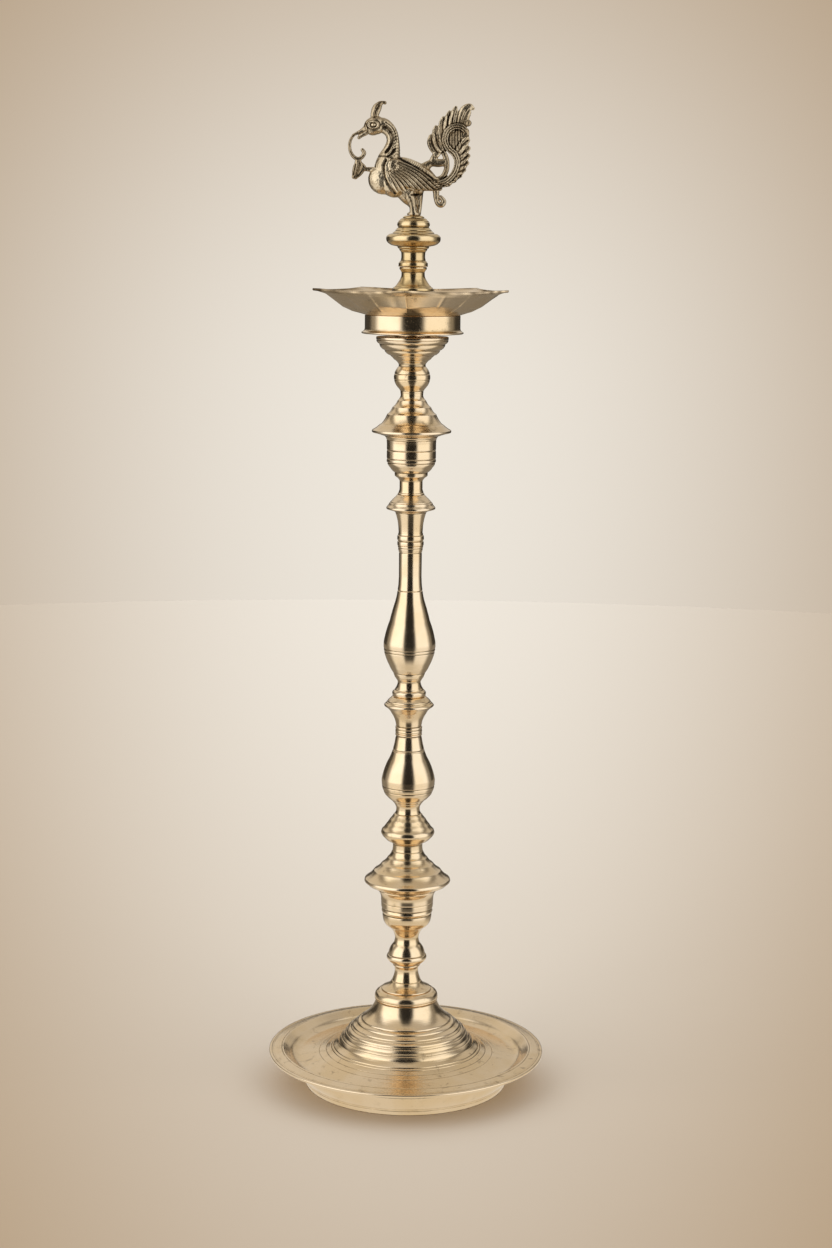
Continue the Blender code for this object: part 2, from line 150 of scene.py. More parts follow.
def store(mesh, key, values):
    """Keeps a number for each of a mesh's points, for a material to read."""
    stored = mesh.attributes.new(key, "FLOAT", "POINT")
    stored.data.foreach_set("value", values.astype(np.float32))


def smooth_object(name, mesh):
    """A smooth-shaded object of this mesh, in the scene."""
    mesh.polygons.foreach_set("use_smooth", np.ones(len(mesh.polygons), bool))
    obj = bpy.data.objects.new(name, mesh)
    bpy.context.scene.collection.objects.link(obj)
    return obj


def grid_object(name, points, around=False, along=False, numbers=None):
    """A mesh from a grid of points (rows, columns, 3), its faces outward where the columns run
    anticlockwise seen from outside the last row. around joins the last column to the first, and
    along the last row to the first. Points that coincide, as at a pole, are made one."""
    rows, columns = points.shape[:2]
    index = np.arange(rows * columns).reshape(rows, columns)
    low_rows = index if along else index[:-1]
    high_rows = np.roll(index, -1, 0) if along else index[1:]
    if not around:
        corners = [low_rows[:, :-1], low_rows[:, 1:], high_rows[:, 1:], high_rows[:, :-1]]
    else:
        corners = [low_rows, np.roll(low_rows, -1, 1), np.roll(high_rows, -1, 1), high_rows]
    faces = np.stack([c.ravel() for c in corners], 1)
    mesh = bpy.data.meshes.new(name)
    mesh.from_pydata(points.reshape(-1, 3), [], faces)
    for key, values in (numbers or {}).items():
        values = np.broadcast_to(values, (rows, columns)).ravel()
        store(mesh, key, values)
    if around and np.ptp(points[[0, -1]], axis=1).max(-1).min() < 1e-9:
        welded = bmesh.new()
        welded.from_mesh(mesh)
        bmesh.ops.remove_doubles(welded, verts=welded.verts, dist=1e-7)
        welded.to_mesh(mesh)
        welded.free()
    return smooth_object(name, mesh)


def turned_grid(line, around):
    """A line of (radius, height) rows carried round the Z axis at this many evenly spaced turns."""
    angle = np.linspace(0, 2 * np.pi, around, endpoint=False)
    flat = [line[:, :1] * np.cos(angle), line[:, :1] * np.sin(angle)]
    return np.stack([*flat, np.repeat(line[:, 1:], around, 1)], -1)


FLOOR_RADIUS, COVE_RADIUS, WALL_HEIGHT = 3.0, 1.6, 5.0
FLOOR_ROWS, ROUND_STEPS = 12, 96
bend = np.linspace(0, np.pi / 2, 17)
flat_floor = np.stack([np.linspace(0.01, FLOOR_RADIUS, FLOOR_ROWS), np.zeros(FLOOR_ROWS)], 1)
cove = np.stack([FLOOR_RADIUS + COVE_RADIUS * np.sin(bend), COVE_RADIUS * (1 - np.cos(bend))], 1)
sweep = np.concatenate([flat_floor, cove, [(FLOOR_RADIUS + COVE_RADIUS, WALL_HEIGHT)]])

BEAM_DISTANCE, BEAM_HEIGHT = 2.17, 0.7825      # where the beam starts, and where the camera stands
BEAM_HALF_WIDTH, BEAM_SINK, BEAM_ABOVE, BEAM_BELOW = 0.207, 0.077, 0.223, 0.387
PAINTED_BEAM_PAPER, SHADED_PAPER = (0.847, 0.792, 0.708, 1), (0.392, 0.262, 0.139, 1)


def paper_with_painted_beam(paint):
    """Paper with the painted light of a soft front beam on it: pale along the middle of the beam, which
    sinks a little towards the back, and a brown beige painted shade outside it. With across and rise
    the slopes of a point seen from the beam's start, over its half width and half heights, the share of
    pale is exp(-(across^2 + rise^2)^1.05). Floor and wall follow the same rule, so it runs on over both."""
    x, y, z = paint.split(paint.place())
    reach = (y + BEAM_DISTANCE).most(0.8)
    across = (x / reach) / BEAM_HALF_WIDTH
    rise = (z - BEAM_HEIGHT) / reach + BEAM_SINK
    rise = rise.most(0) / BEAM_ABOVE + rise.least(0) / BEAM_BELOW
    off = (across * across + rise * rise) ** 1.05
    return paint.mix((0 - off).math("EXPONENT"), SHADED_PAPER, PAINTED_BEAM_PAPER)


# The floor's colour carries the painted beam and its painted shade; the room and the top light light it as
# well.
floor = grid_object("studio_floor", turned_grid(sweep[:FLOOR_ROWS], ROUND_STEPS)[::-1], around=True)
floor_paper = bpy.data.materials.new("floor_paper")
floor_paper.use_nodes = True
paint = Paint(floor_paper.node_tree)
surface = paint.add("BsdfPrincipled", inputs={"Base Color": paper_with_painted_beam(paint), "Roughness": 1.0})
surface.socket.node.inputs["Specular IOR Level"].default_value = 0.0
paint.add("OutputMaterial", inputs={"Surface": surface})

# The backdrop glows with the painted beam and its painted shade instead of being lit, and only the camera
# sees it.
wall = turned_grid(sweep[FLOOR_ROWS - 1 :], ROUND_STEPS)
backdrop = grid_object("studio_backdrop", wall[::-1], around=True)
wall_paper = bpy.data.materials.new("wall_paper")
wall_paper.use_nodes = True
paint = Paint(wall_paper.node_tree)
surface = paint.add("Emission", inputs={"Color": paper_with_painted_beam(paint), "Strength": 1.0})
paint.add("OutputMaterial", inputs={"Surface": surface})
for flag in ("visible_diffuse", "visible_glossy", "visible_shadow"):
    setattr(backdrop, flag, False)
for stage_piece, paper in ((floor, floor_paper), (backdrop, wall_paper)):
    stage_piece.data.materials.append(paper)

world = bpy.data.worlds.new("studio_light")
bpy.context.scene.world = world
world.use_nodes = True
sky = Paint(world.node_tree)

# The room that the brass reflects, by bearing and by height in degrees: windows at both sides, a fill
# past them, the lit paper behind, a dim ceiling, and the dark gap where the camera stands.
x, y, z = sky.split(sky.add("TexCoord", output="Generated"))
bearing = sky.bearing(x, y)
up = z.math("ARCSINE") * (180 / math.pi)
window = bearing.rise(22, 34) * (1 - bearing.rise(86, 106)) * (1 - up.rise(46, 64))
fill = bearing.rise(88, 104) * (1 - bearing.rise(110, 126))
paper_glow = (bearing.rise(138, 160) * up.rise(5, 12)).most(bearing.rise(100, 124) * up.rise(13, 24))
behind = sky.mix(paper_glow, (0.050, 0.046, 0.041, 1), (0.66, 0.62, 0.56, 1))
sides = sky.mix(fill, behind, (0.30, 0.28, 0.25, 1))
ceiling = sky.mix(up.rise(42, 64), sides, (0.60, 0.56, 0.50, 1))
gap = (1 - bearing.rise(20, 28)) * (1 - up.rise(64, 82))
room = sky.mix(gap, ceiling, (0.018, 0.017, 0.016, 1))
lit = sky.mix(window, room, (1.36, 1.35, 1.33, 1))
strength = 1.04 - x.rise(-0.3, 0.3) * 0.16
around_light = sky.add("Background", inputs={"Color": lit, "Strength": strength})
sky.add("OutputWorld", inputs={"Surface": around_light})

# Cards laid on the floor, out of the camera's sight, that glow as painted reflections: only the brass
# reflects them. They are warm near the lamp, and further out they carry the windows and the gap down
# from the room.
CARD_TOP = 0.0004
card_rings = [3.0, 2.0, 1.2, 0.8, 0.6, 0.5, 0.42, 0.36, 0.3, 0.25, 0.2, 0.16, 0.12, 0.09]
card_line = np.array([(ring, CARD_TOP) for ring in card_rings])
cards = grid_object("floor_cards", turned_grid(card_line, ROUND_STEPS), around=True)
painted_reflection_card = bpy.data.materials.new("painted_reflection_card")
painted_reflection_card.use_nodes = True
paint = Paint(painted_reflection_card.node_tree)
x, y, z = paint.split(paint.place())
bearing = paint.bearing(x, y)
reach = (x * x + y * y).math("SQRT")
far = reach.rise(0.22, 0.46)
pane = bearing.rise(20, 36) * (1 - bearing.rise(84, 110))
dim = paint.mix(bearing.rise(20, 30), (0.05, 0.046, 0.04, 1), (0.24, 0.22, 0.19, 1))
striped = paint.mix(pane, dim, (0.98, 0.95, 0.90, 1))
glow = paint.mix(far, (0.74, 0.69, 0.61, 1), striped)
surface = paint.add("Emission", inputs={"Color": glow, "Strength": 1.0})
paint.add("OutputMaterial", inputs={"Surface": surface})
for flag in ("visible_camera", "visible_diffuse", "visible_shadow"):
    setattr(cards, flag, False)
cards.data.materials.append(painted_reflection_card)

TOP_SHARE = 0.42       # how much of the floor's light comes from straight above
top_light = bpy.data.objects.new("top_light", bpy.data.lights.new("top_light", "SUN"))
top_light.data.energy = math.pi * TOP_SHARE
top_light.data.color = (0.94, 0.99, 1.07)
top_light.data.angle = math.radians(110)
top_light.visible_glossy = False
bpy.context.scene.collection.objects.link(top_light)

CAMERA_PITCH, CAMERA_ROLL = math.radians(3.9), math.radians(-0.55)
camera = bpy.data.objects.new("camera", bpy.data.cameras.new("camera"))
bpy.context.scene.collection.objects.link(camera)
bpy.context.scene.camera = camera
camera.location = (0, -BEAM_DISTANCE, BEAM_HEIGHT)
camera.rotation_euler = (math.pi / 2 - CAMERA_PITCH, CAMERA_ROLL, 0)
camera.data.lens = 68.1
camera.data.sensor_width = 36
camera.data.shift_y = -0.1752
camera.data.shift_x = 0.0021
bpy.context.scene.view_settings.view_transform = "Standard"

# ---------------------------------------------------------------------------
# Base dish: dish, stepped dome and bell pedestal cast in one and turned, then
# stood on its own hollow skirt. Everything turned on the lamp is made as here.
# ---------------------------------------------------------------------------

FINE = 0.1        # spacing of the points of a turned line before it is thinned, in mm
TURN_STEP = 0.16  # how far a thinned line turns from one point to the next, in radians,
CLOSEST, WIDEST = 0.22, 1.6       # and the least and most that its points stand apart, in mm


def arc(start, end, bulge):
    """Points from just after start to end on an arc that stands bulge off the chord, to the left of
    the run: the arc's half angle is twice the arctangent of twice the bulge over the chord."""
    run = end - start
    chord = np.hypot(*run)
    half = 2 * math.atan(2 * bulge / chord)
    turns = half * np.linspace(-1, 1, 25)[1:]
    left = np.array([-run[1], run[0]])
    along = 0.5 + np.sin(turns) / (2 * math.sin(half))
    off = (np.cos(turns) - math.cos(half)) / (2 * math.sin(half))
    return start + along[:, None] * run + off[:, None] * left


def line_of(moves):
    """A turned line from moves (radius, height) and (radius, height, bulge), in mm, top to bottom."""
    points = [np.array([moves[0][:2]], float)]
    for move in moves[1:]:
        end = np.array(move[:2], float)
        if len(move) == 2:
            points.append(end[None])
        else:
            points.append(arc(points[-1][-1], end, move[2]))
    return np.concatenate(points)


def respaced(line, steps):
    """The line read again at these distances along it."""
    run = np.concatenate([[0], np.cumsum(np.hypot(*np.diff(line, axis=0).T))])
    return np.stack([np.interp(steps, run, line[:, i]) for i in range(2)], 1)


def softened(line, spread):
    """A Gaussian mean along an evenly spaced line, its ends held."""
    reach = int(4 * spread / FINE)
    weights = np.exp(-0.5 * (np.arange(-reach, reach + 1) * FINE / spread) ** 2)
    weights /= weights.sum()
    held = np.concatenate([2 * line[0] - line[reach:0:-1], line, 2 * line[-1] - line[-2 : -reach - 2 : -1]])
    return np.stack([np.convolve(held[:, i], weights, "valid") for i in range(2)], 1)


def outward(line):
    """Unit normals to the left of the run, which is outwards on a line that runs down."""
    run = np.gradient(line, axis=0)
    run /= np.hypot(*run.T)[:, None]
    return np.stack([-run[:, 1], run[:, 0]], 1)


def turned_line(moves, grooves=(), edge=0.28):
    """The finished outer line of a turned piece in mm, with its edges eased and its grooves cut.
    A groove is (height, depth, half width), or (height, depth, half width, radius) where the line
    passes that height more than once; a negative depth is a raised ring. Returns the line, its run
    in mm, and its relief: below 0 in hollows and above 0 on edges."""
    rough = line_of(moves)
    length = np.hypot(*np.diff(rough, axis=0).T).sum()
    even = respaced(rough, np.linspace(0, length, int(length / FINE)))
    line = softened(even, edge)
    normal = outward(line)
    run = np.linspace(0, length, len(line))
    for height, depth, half_width, *radius in grooves:
        off = np.abs(line[:, 1] - height)
        if radius:
            off = np.hypot(line[:, 0] - radius[0], off)
        centre = run[np.argmin(off)]
        line = line - normal * depth * np.exp(-(((run - centre) / half_width) ** 2))[:, None]
    relief = np.clip(((line - softened(line, 0.9)) * outward(line)).sum(1) / 0.30, -1, 1)
    bend = np.abs(np.gradient(np.unwrap(np.arctan2(*np.gradient(line, axis=0).T)), FINE))
    bend = np.maximum(softened(np.stack([bend, bend], 1), 0.3)[:, 0], 1e-4)
    step = np.clip(TURN_STEP / bend, CLOSEST, WIDEST)
    rows = np.concatenate([[0], np.cumsum(FINE / step)])[:-1]
    chosen = np.append(np.unique(np.searchsorted(rows, np.arange(rows[-1]))), len(line) - 1)
    tilt = softened(np.abs(outward(line)), 0.6)[:, 1] ** 2
    return line[chosen], {"run": run[chosen], "relief": relief[chosen], "tilt": tilt[chosen]}


def turned_object(name, line, numbers, around=112):
    """The closed loop of a turned section, in mm, carried round the Z axis."""
    backward = {key: values[::-1, None] for key, values in numbers.items()}
    grid = turned_grid(line[::-1], around) * MM
    return grid_object(name, grid, around=True, along=True, numbers=backward)


def with_inside(outer, inner):
    """A closed loop from a finished outer line and a plain list of the inner line's corners."""
    line, numbers = outer
    unseen = {"run": 0, "relief": -0.4, "tilt": 0}
    held = {key: [unseen[key]] * len(inner) for key in numbers}
    numbers = {key: np.append(values, held[key]) for key, values in numbers.items()}
    return np.concatenate([line, np.array(inner, float)]), numbers


def brass_finish(name, pale, deep, dirt, shine=0.13, age=1.0, texture=1.0):
    """Brass: pale where it is polished, deeper in patches and brown where polish never reaches. Where
    it was turned it has tool lines round it, coarser on slopes that face up or down. Stored numbers:
    run (mm along the turned line), relief (hollow below 0, edge above), tilt (0 upright, 1 level),
    dark (soot and old oil)."""
    material = bpy.data.materials.new(name)
    material.use_nodes = True
    paint = Paint(material.node_tree)
    relief, run, tilt, dark = (paint.read(key) for key in ("relief", "run", "tilt", "dark"))
    broad = paint.noise(24.0, 3.0, distortion=0.4)
    patchy = paint.noise(110.0, 4.0, roughness=0.65)
    fine = paint.noise(700.0, 2.0)
    hollow = (0 - relief).rise(0.10, 0.85) * patchy.rise(0.28, 0.56)
    pits = fine.rise(0.70, 0.76) * broad.rise(0.42, 0.60)
    stain = patchy.rise(0.56, 0.74) * (broad.rise(0.48, 0.62) * 0.5 + tilt * 0.45)
    tone = paint.mix((broad.rise(0.36, 0.66) * 0.7 + 0.15 - relief * 0.6).most(0).least(1), pale, deep)
    tone = paint.mix((stain * 0.75 * age).least(0.9), tone, dirt)
    soiled = (hollow * 0.9 * age + pits * 0.6 * age + dark).least(1.0)
    tone = paint.mix(soiled, tone, dirt)
    roughness = shine + patchy * 0.08 + hollow * 0.28 + stain * 0.16 + pits * 0.2 + dark * 0.3
    lines = paint.add("TexNoise", {"noise_dimensions": "1D"}, {"W": run, "Scale": 1.15, "Detail": 4.0})
    tool = lines * (tilt * 0.085 + 0.010)
    height = (tool + paint.noise(48.0, 2.0) * 0.06 + patchy * 0.014 - pits * 0.05) * texture
    bump = paint.add("Bump", inputs={"Height": height, "Strength": 1.0, "Distance": MM})
    inputs = {"Base Color": tone, "Roughness": roughness, "Metallic": 1.0, "Normal": bump}
    surface = paint.add("BsdfPrincipled", inputs=inputs)
    paint.add("OutputMaterial", inputs={"Surface": surface})
    return material


PALE, DEEP, DIRT = (0.90, 0.73, 0.515, 1), (0.83, 0.63, 0.375, 1), (0.115, 0.078, 0.042, 1)
POLISHED = brass_finish("polished_brass", PALE, DEEP, DIRT)


def finish_piece(obj, material, body, slot, *nodes):
    """Gives a finished piece its material and body, hides the CAD nodes it stands for; slot is not used."""
    obj.data.materials.append(material)
    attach(obj, body)
    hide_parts(*nodes)


def box_mm(node):
    """A CAD node's lowest and highest corners, in mm."""
    return [np.array(corner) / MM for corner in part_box(node)]


base_high = box_mm("base_dish")[1]
BASE_RADIUS, SEAT_TOP = base_high[0], base_high[2]
SOCKET_RADIUS, SOCKET_DEPTH, CORE_RADIUS, SEAT_GAP = 6.3, 9.6, 4.2, 0.3

base_outer = turned_line(
    [
        (SOCKET_RADIUS, SEAT_TOP), (23.0, SEAT_TOP),
        (26.6, 85.6, 0.5), (29.3, 82.2, 0.5), (29.5, 79.6, 0.1),
        (28.9, 77.9, 0.2), (28.3, 77.3), (28.6, 76.6), (30.6, 71.8, -0.15), (34.6, 65.8, -0.3),
        (41.0, 60.1, -0.3), (41.5, 58.9, 0.2), (42.8, 58.4), (45.4, 57.0, 0.3), (45.8, 56.2, 0.1),
        (49.3, 53.8, -0.1), (49.8, 53.0, 0.1), (53.9, 50.0, -0.1), (54.5, 48.8, 0.15), (57.5, 45.3, 0.1),
        (58.0, 44.4, 0.1), (62.3, 39.8, 0.15), (62.9, 38.7, 0.1), (67.0, 35.2, -0.2), (76.0, 29.6, -0.5),
        (BASE_RADIUS - 28.2, 24.5, -0.4), (BASE_RADIUS - 20.0, 28.0, -1.2), (BASE_RADIUS - 13.2, 33.2),
        (BASE_RADIUS - 0.8, 31.2), (BASE_RADIUS, 29.6, 0.5), (BASE_RADIUS - 0.9, 28.2, 0.3),
        (BASE_RADIUS - 15.0, 29.4), (BASE_RADIUS - 25.0, 23.0, -0.6), (BASE_RADIUS - 25.3, 22.7),
    ],
    [
        (34.4, 0.25, 0.35, 68.4), (33.0, 0.25, 0.3, 70.4),
        (30.4, 0.25, 0.35, 75.0), (27.6, 0.25, 0.3, 81.0),
        (79.6, 0.3, 0.35, 29.4), (51.4, 0.2, 0.3, 51.8), (47.0, 0.2, 0.3, 56.0), (42.2, 0.2, 0.3, 60.2),
        (31.0, 0.3, 0.4, BASE_RADIUS - 2.6), (32.9, 0.35, 0.4, BASE_RADIUS - 11.6),
        (31.4, 0.2, 0.3, BASE_RADIUS - 4.0),
    ],
    edge=0.2,
)
base_inner = [
    (BASE_RADIUS - 32, 22.7), (76.0, 24.4), (66.0, 28.6), (59.0, 34.4), (48.0, 43.6), (40.0, 50.6),
    (30.4, 58.6), (25.4, 67.6), (24.6, 73.0), (12.0, 74.0), (SOCKET_RADIUS, 74.0),
]
base = turned_object("base_dish_turned", *with_inside(base_outer, base_inner), around=224)
finish_piece(base, POLISHED, "base", "polished_brass", "base_dish")

skirt_outer = turned_line(
    [
        (BASE_RADIUS - 27.4, 22.4), (BASE_RADIUS - 25.3, 22.4),
        (BASE_RADIUS - 33.0, 5.8, 1.8), (BASE_RADIUS - 34.6, 0),
    ],
    [(4.0, 0.3, 0.4), (19.0, 0.25, 0.4)],
)
skirt_inner = [(BASE_RADIUS - 37.4, 0), (BASE_RADIUS - 35.6, 6.4), (BASE_RADIUS - 29.0, 20.0)]
skirt = turned_object("base_skirt_turned", *with_inside(skirt_outer, skirt_inner), around=224)
finish_piece(skirt, POLISHED, "base", "polished_brass", "base_skirt")

# ---------------------------------------------------------------------------
# Stem sections: cast round a core, turned to one running line of flanges,
# vases and cups, and screwed together end to end.
# ---------------------------------------------------------------------------


def section_bore(length):
    """The inside of a section, bottom to top: a socket, the core hole and the upper socket."""
    low, high = SEAT_GAP, length
    return [
        (SOCKET_RADIUS, low), (SOCKET_RADIUS, low + SOCKET_DEPTH), (CORE_RADIUS, low + SOCKET_DEPTH),
        (CORE_RADIUS, high - SOCKET_DEPTH), (SOCKET_RADIUS, high - SOCKET_DEPTH), (SOCKET_RADIUS, high),
    ]


def stem_section(node, moves, grooves, bore=section_bore, finish=POLISHED):
    """A section drawn from its seat, stretched to its node's height and set on that seat."""
    low, high = box_mm(node)
    seat = low[2] - SEAT_GAP
    length = high[2] - seat
    stretch = length / moves[0][1]
    stretched = [(m[0], max(m[1] * stretch, SEAT_GAP), *m[2:]) for m in moves]
    outer = turned_line(stretched, grooves)
    line, numbers = with_inside(outer, bore(length))
    piece = turned_object(node + "_turned", line + np.array([0, seat]), numbers)
    finish_piece(piece, finish, node, "polished_brass", node)


def screwed_stud(node):
    """A threaded rod between two sections: crests at the rod's radius, winding right-handed, the
    thread dying away at both ends and the ends flat. radius = root + depth * tooth(height / pitch
    - angle / 360 degrees)."""
    low, high = box_mm(node)
    radius, pitch, depth = high[0], 2.0, 1.1
    height = np.linspace(low[2], high[2], int((high[2] - low[2]) / 0.2))
    angle = np.linspace(0, 2 * np.pi, 56, endpoint=False)
    tooth = np.abs(((height[:, None] / pitch - angle / (2 * np.pi)) % 1) * 2 - 1)
    fade = np.clip(np.minimum(height - low[2], high[2] - height) / 1.6, 0, 1)[:, None]
    reach = radius - depth + depth * np.clip(1.25 * tooth - 0.1, 0, 1) * fade
    reach = np.concatenate([[0 * angle], reach, [0 * angle]])
    height = np.concatenate([[low[2]], height, [high[2]]])
    grid = np.stack(
        [reach * np.cos(angle), reach * np.sin(angle), np.repeat(height[:, None], len(angle), 1)], -1
    )
    worn = np.concatenate([[[0]], np.full((len(height) - 2, 1), 0.25), [[0]]])
    stud = grid_object(node + "_threaded", grid * MM, around=True, numbers={"dark": worn})
    finish_piece(stud, POLISHED, node, "polished_brass", node)


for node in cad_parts:
    if node.endswith("_stud"):
        screwed_stud(node)

stem_section(
    "lower_cup_section",
    [
        (28.6, 95.6), (24.4, 86.4, -1.2), (24.2, 82.0), (24.0, 78.4), (23.2, 77.6), (23.6, 75.1),
        (22.8, 72.3), (22.5, 68.4, 0.2), (16.6, 59.4, 1.4), (10.9, 49.0, -1.2), (12.4, 43.4, -0.3),
        (16.9, 34.6, 0.8), (17.5, 33.2), (18.6, 31.0, 0.3), (17.6, 28.0, 0.3), (13.8, 25.0, 0.2),
        (12.4, 24.2), (12.6, 22.6, 0.2), (11.3, 21.4), (10.9, 18.2, -0.1), (12.3, 11.7, -0.3),
        (21.6, 1.9, -1.8), (23.3, 1.2), (23.3, 0),
    ],
    [
        (77.9, 0.5, 0.5), (75.0, -0.2, 0.8), (72.4, 0.5, 0.5), (83.4, 0.25, 0.4), (33.6, 0.45, 0.4),
        (8.4, 0.3, 0.4),
    ],
)
stem_section(
    "lower_vase_section",
    [
        (12.2, 146.3), (12.4, 145.2, 0.2), (11.8, 144.0), (12.4, 141.6), (13.4, 136.0), (14.6, 131.4),
        (17.8, 123.0, -0.2), (24.4, 105.6, 0.7), (24.6, 100.4, 0.3), (22.6, 91.6, 0.6), (19.7, 87.4, 0.4),
        (15.6, 83.9, 0.3), (13.8, 81.8), (13.0, 80.8), (10.9, 75.5, -0.5), (12.4, 71.0, -0.4), (13.6, 69.6),
        (16.6, 65.8, -0.2), (17.4, 64.6), (20.0, 61.0, -0.2), (20.8, 59.8), (23.4, 56.6, -0.2),
        (24.6, 54.4, 0.3), (24.6, 52.4, 0.3), (21.4, 48.2, 0.4), (17.2, 45.0, 0.4), (13.7, 42.5, -0.2),
        (13.8, 38.6), (14.5, 35.4, -0.1), (17.2, 30.6, -0.2), (18.4, 29.6), (22.6, 24.6, -0.3),
        (24.0, 23.8), (29.6, 18.4, -0.3), (31.2, 17.6), (39.0, 10.0, -0.6), (39.9, 8.4, 0.3),
        (39.4, 6.8, 0.4), (36.2, 3.9), (28.8, 0.9, -0.4), (28.6, 0),
    ],
    [
        (131.5, 0.5, 0.45), (130.2, 0.3, 0.4), (97.4, 0.5, 0.45), (92.8, 0.5, 0.45), (83.9, 0.35, 0.4),
        (71.2, 0.35, 0.4), (81.4, 0.3, 0.4), (36.0, 0.3, 0.4), (144.2, 0.35, 0.4),
    ],
)
stem_section(
    "collar_section",
    [
        (15.8, 34.7), (16.6, 33.8), (20.4, 30.2, 0.2), (21.4, 28.6), (22.9, 27.2, 0.2), (22.8, 26.0, 0.3),
        (19.6, 23.8), (16.0, 18.8, -0.3), (12.4, 11.0, -0.4), (11.7, 7.0), (12.5, 5.6, 0.3), (12.3, 4.0),
        (12.5, 2.4), (12.2, 0),
    ],
    [(4.1, 0.35, 0.4), (1.6, 0.3, 0.35), (7.0, 0.3, 0.4), (30.2, 0.35, 0.4)],
)
stem_section(
    "tall_vase_section",
    [
        (11.4, 141.0), (11.6, 139.6, 0.2), (11.4, 137.6), (10.8, 135.6), (10.6, 134.0), (10.5, 112.0),
        (10.8, 106.0), (11.6, 99.2, -0.1), (13.5, 89.3, -0.2), (18.7, 70.6, 0.2), (23.4, 54.4, 0.4),
        (24.1, 48.6, 0.2), (23.3, 41.2, 0.2), (18.9, 29.6, 0.4), (15.8, 23.8, 0.2), (14.2, 20.4, -0.1),
        (13.0, 17.6), (10.6, 13.9, -0.3), (12.9, 7.4, -0.5), (14.8, 5.2), (15.6, 2.8, 0.4),
        (14.6, 0.6, 0.3), (14.4, 0),
    ],
    [
        (134.4, 0.3, 0.35), (99.2, 0.55, 0.4), (45.0, 0.5, 0.45), (42.2, 0.5, 0.45), (22.1, 0.4, 0.45),
        (17.5, 0.4, 0.45), (138.6, 0.35, 0.4), (6.6, 0.3, 0.4),
    ],
)
stem_section(
    "trumpet_section",
    [
        (12.6, 47.3), (14.6, 45.0), (18.2, 41.4, 0.2), (20.6, 38.0, 0.3), (22.2, 36.0), (22.6, 35.0, 0.2),
        (21.9, 33.8, 0.3), (15.4, 32.0), (13.5, 28.4, -0.2), (11.3, 16.0, -0.4), (11.1, 12.0), (11.9, 9.8),
        (12.2, 8.0, 0.2), (12.2, 5.4, 0.2), (11.6, 4.4), (12.2, 2.6, 0.2), (12.1, 0),
    ],
    [(9.9, 0.4, 0.4), (4.4, 0.3, 0.35), (40.4, 0.3, 0.4), (30.6, 0.3, 0.4)],
)
stem_section(
    "upper_cup_section",
    [
        (24.7, 54.0), (23.0, 50.4, -0.5), (22.7, 48.0), (22.7, 32.0), (22.3, 29.8, 0.2), (19.6, 25.2, 0.4),
        (16.4, 21.4, 0.3), (15.4, 20.4), (15.2, 18.6), (14.4, 16.8, 0.3), (10.6, 12.8, -0.5), (10.6, 7.0),
        (12.0, 1.6, -0.5), (12.4, 0),
    ],
    [
        (41.2, 0.5, 0.5), (33.3, 0.5, 0.45), (29.6, 0.5, 0.45), (50.6, 0.3, 0.4), (20.6, 0.4, 0.4),
        (2.0, 0.3, 0.4),
    ],
)
stem_section(
    "bowl_support",
    [
        (32.6, 92.0), (33.4, 91.2, 0.2), (33.4, 89.8), (31.6, 85.8, 0.5), (30.4, 85.2), (30.2, 84.0),
        (27.2, 80.2, 0.4), (25.6, 79.4), (25.2, 78.2), (21.8, 75.2, 0.3), (20.0, 74.6), (18.6, 73.2, 0.3),
        (15.8, 70.2, 0.2), (12.4, 66.4, -0.4), (12.4, 64.6), (16.8, 54.0, 1.2), (11.8, 43.8, 1.1),
        (10.6, 40.6, -0.2), (10.4, 37.4, -0.1), (12.0, 34.2, -0.2), (13.0, 33.4), (16.3, 28.0, -0.3),
        (17.6, 27.2), (21.2, 21.4, -0.3), (22.6, 20.6), (28.0, 11.6, -0.5), (29.6, 10.8), (35.8, 6.2, -0.3),
        (36.6, 5.0, 0.3), (36.0, 3.6, 0.3), (26.6, 0.9, -0.2), (24.9, 0),
    ],
    [(57.6, 0.45, 0.45), (52.0, 0.25, 0.4), (89.0, 0.4, 0.4), (69.8, 0.3, 0.4), (41.8, 0.3, 0.4)],
)

# ---------------------------------------------------------------------------
# Wick bowl: beaten sheet brass with its rim folded into five beaks for the
# wicks, soldered to a foot ring and brazed round a threaded boss.
# ---------------------------------------------------------------------------

BEAKS, FIRST_BEAK = 5, -166.5
BETWEEN = 360 / BEAKS


def bowl_wall(angle, share):
    """Radius and height in mm of the bowl's outside, from the foot ring (share 0) to the rim (share
    1). The wall runs from the flat panel's line to the keel's, by a weight that is exp(-|off| /
    8.5 degrees) of the middle of the nearest beak at the rim and widens to a cone at the foot."""
    rows = [0, 0.28, 0.55, 0.86, 0.96, 1]
    panel = np.array([(44, 0), (53.3, 3.6), (63.7, 9.0), (76.4, 17.6), (78.6, 20.0), (79.3, 21.4)])
    keel = np.array([(44, 0.2), (56.9, 3.4), (66.0, 7.4), (81.5, 19.2), (89.5, 21.6), (93.4, 21.9)])
    off = np.abs((angle - FIRST_BEAK + BETWEEN / 2) % BETWEEN - BETWEEN / 2)
    sharp = np.exp(-off / 8.5)
    cone = np.clip(1 - off / 27, 0, 1) ** 1.2
    weight = sharp * share**1.5 + cone * (1 - share**1.5)
    flat = [np.interp(share, rows, panel[:, i]) for i in range(2)]
    fold = [np.interp(share, rows, keel[:, i]) for i in range(2)]
    belly = np.sin(np.pi * np.clip(share, 0, 1))
    crease = np.exp(-(((off - 26) / 1.3) ** 2)) * 0.55 * belly
    dent = 0.28 * np.sin(np.radians(angle) * 11 + 5 * share) * np.sin(np.radians(angle) * 4 + 1)
    dent = dent + 0.5 * np.exp(-(((angle + 128) / 4) ** 2)) + 0.6 * np.exp(-(((angle + 103) / 3) ** 2))
    push = crease - dent * belly * share
    radius = flat[0] + (fold[0] - flat[0]) * weight + push * 0.8
    height = flat[1] + (fold[1] - flat[1]) * weight - push * 0.6
    return radius, height


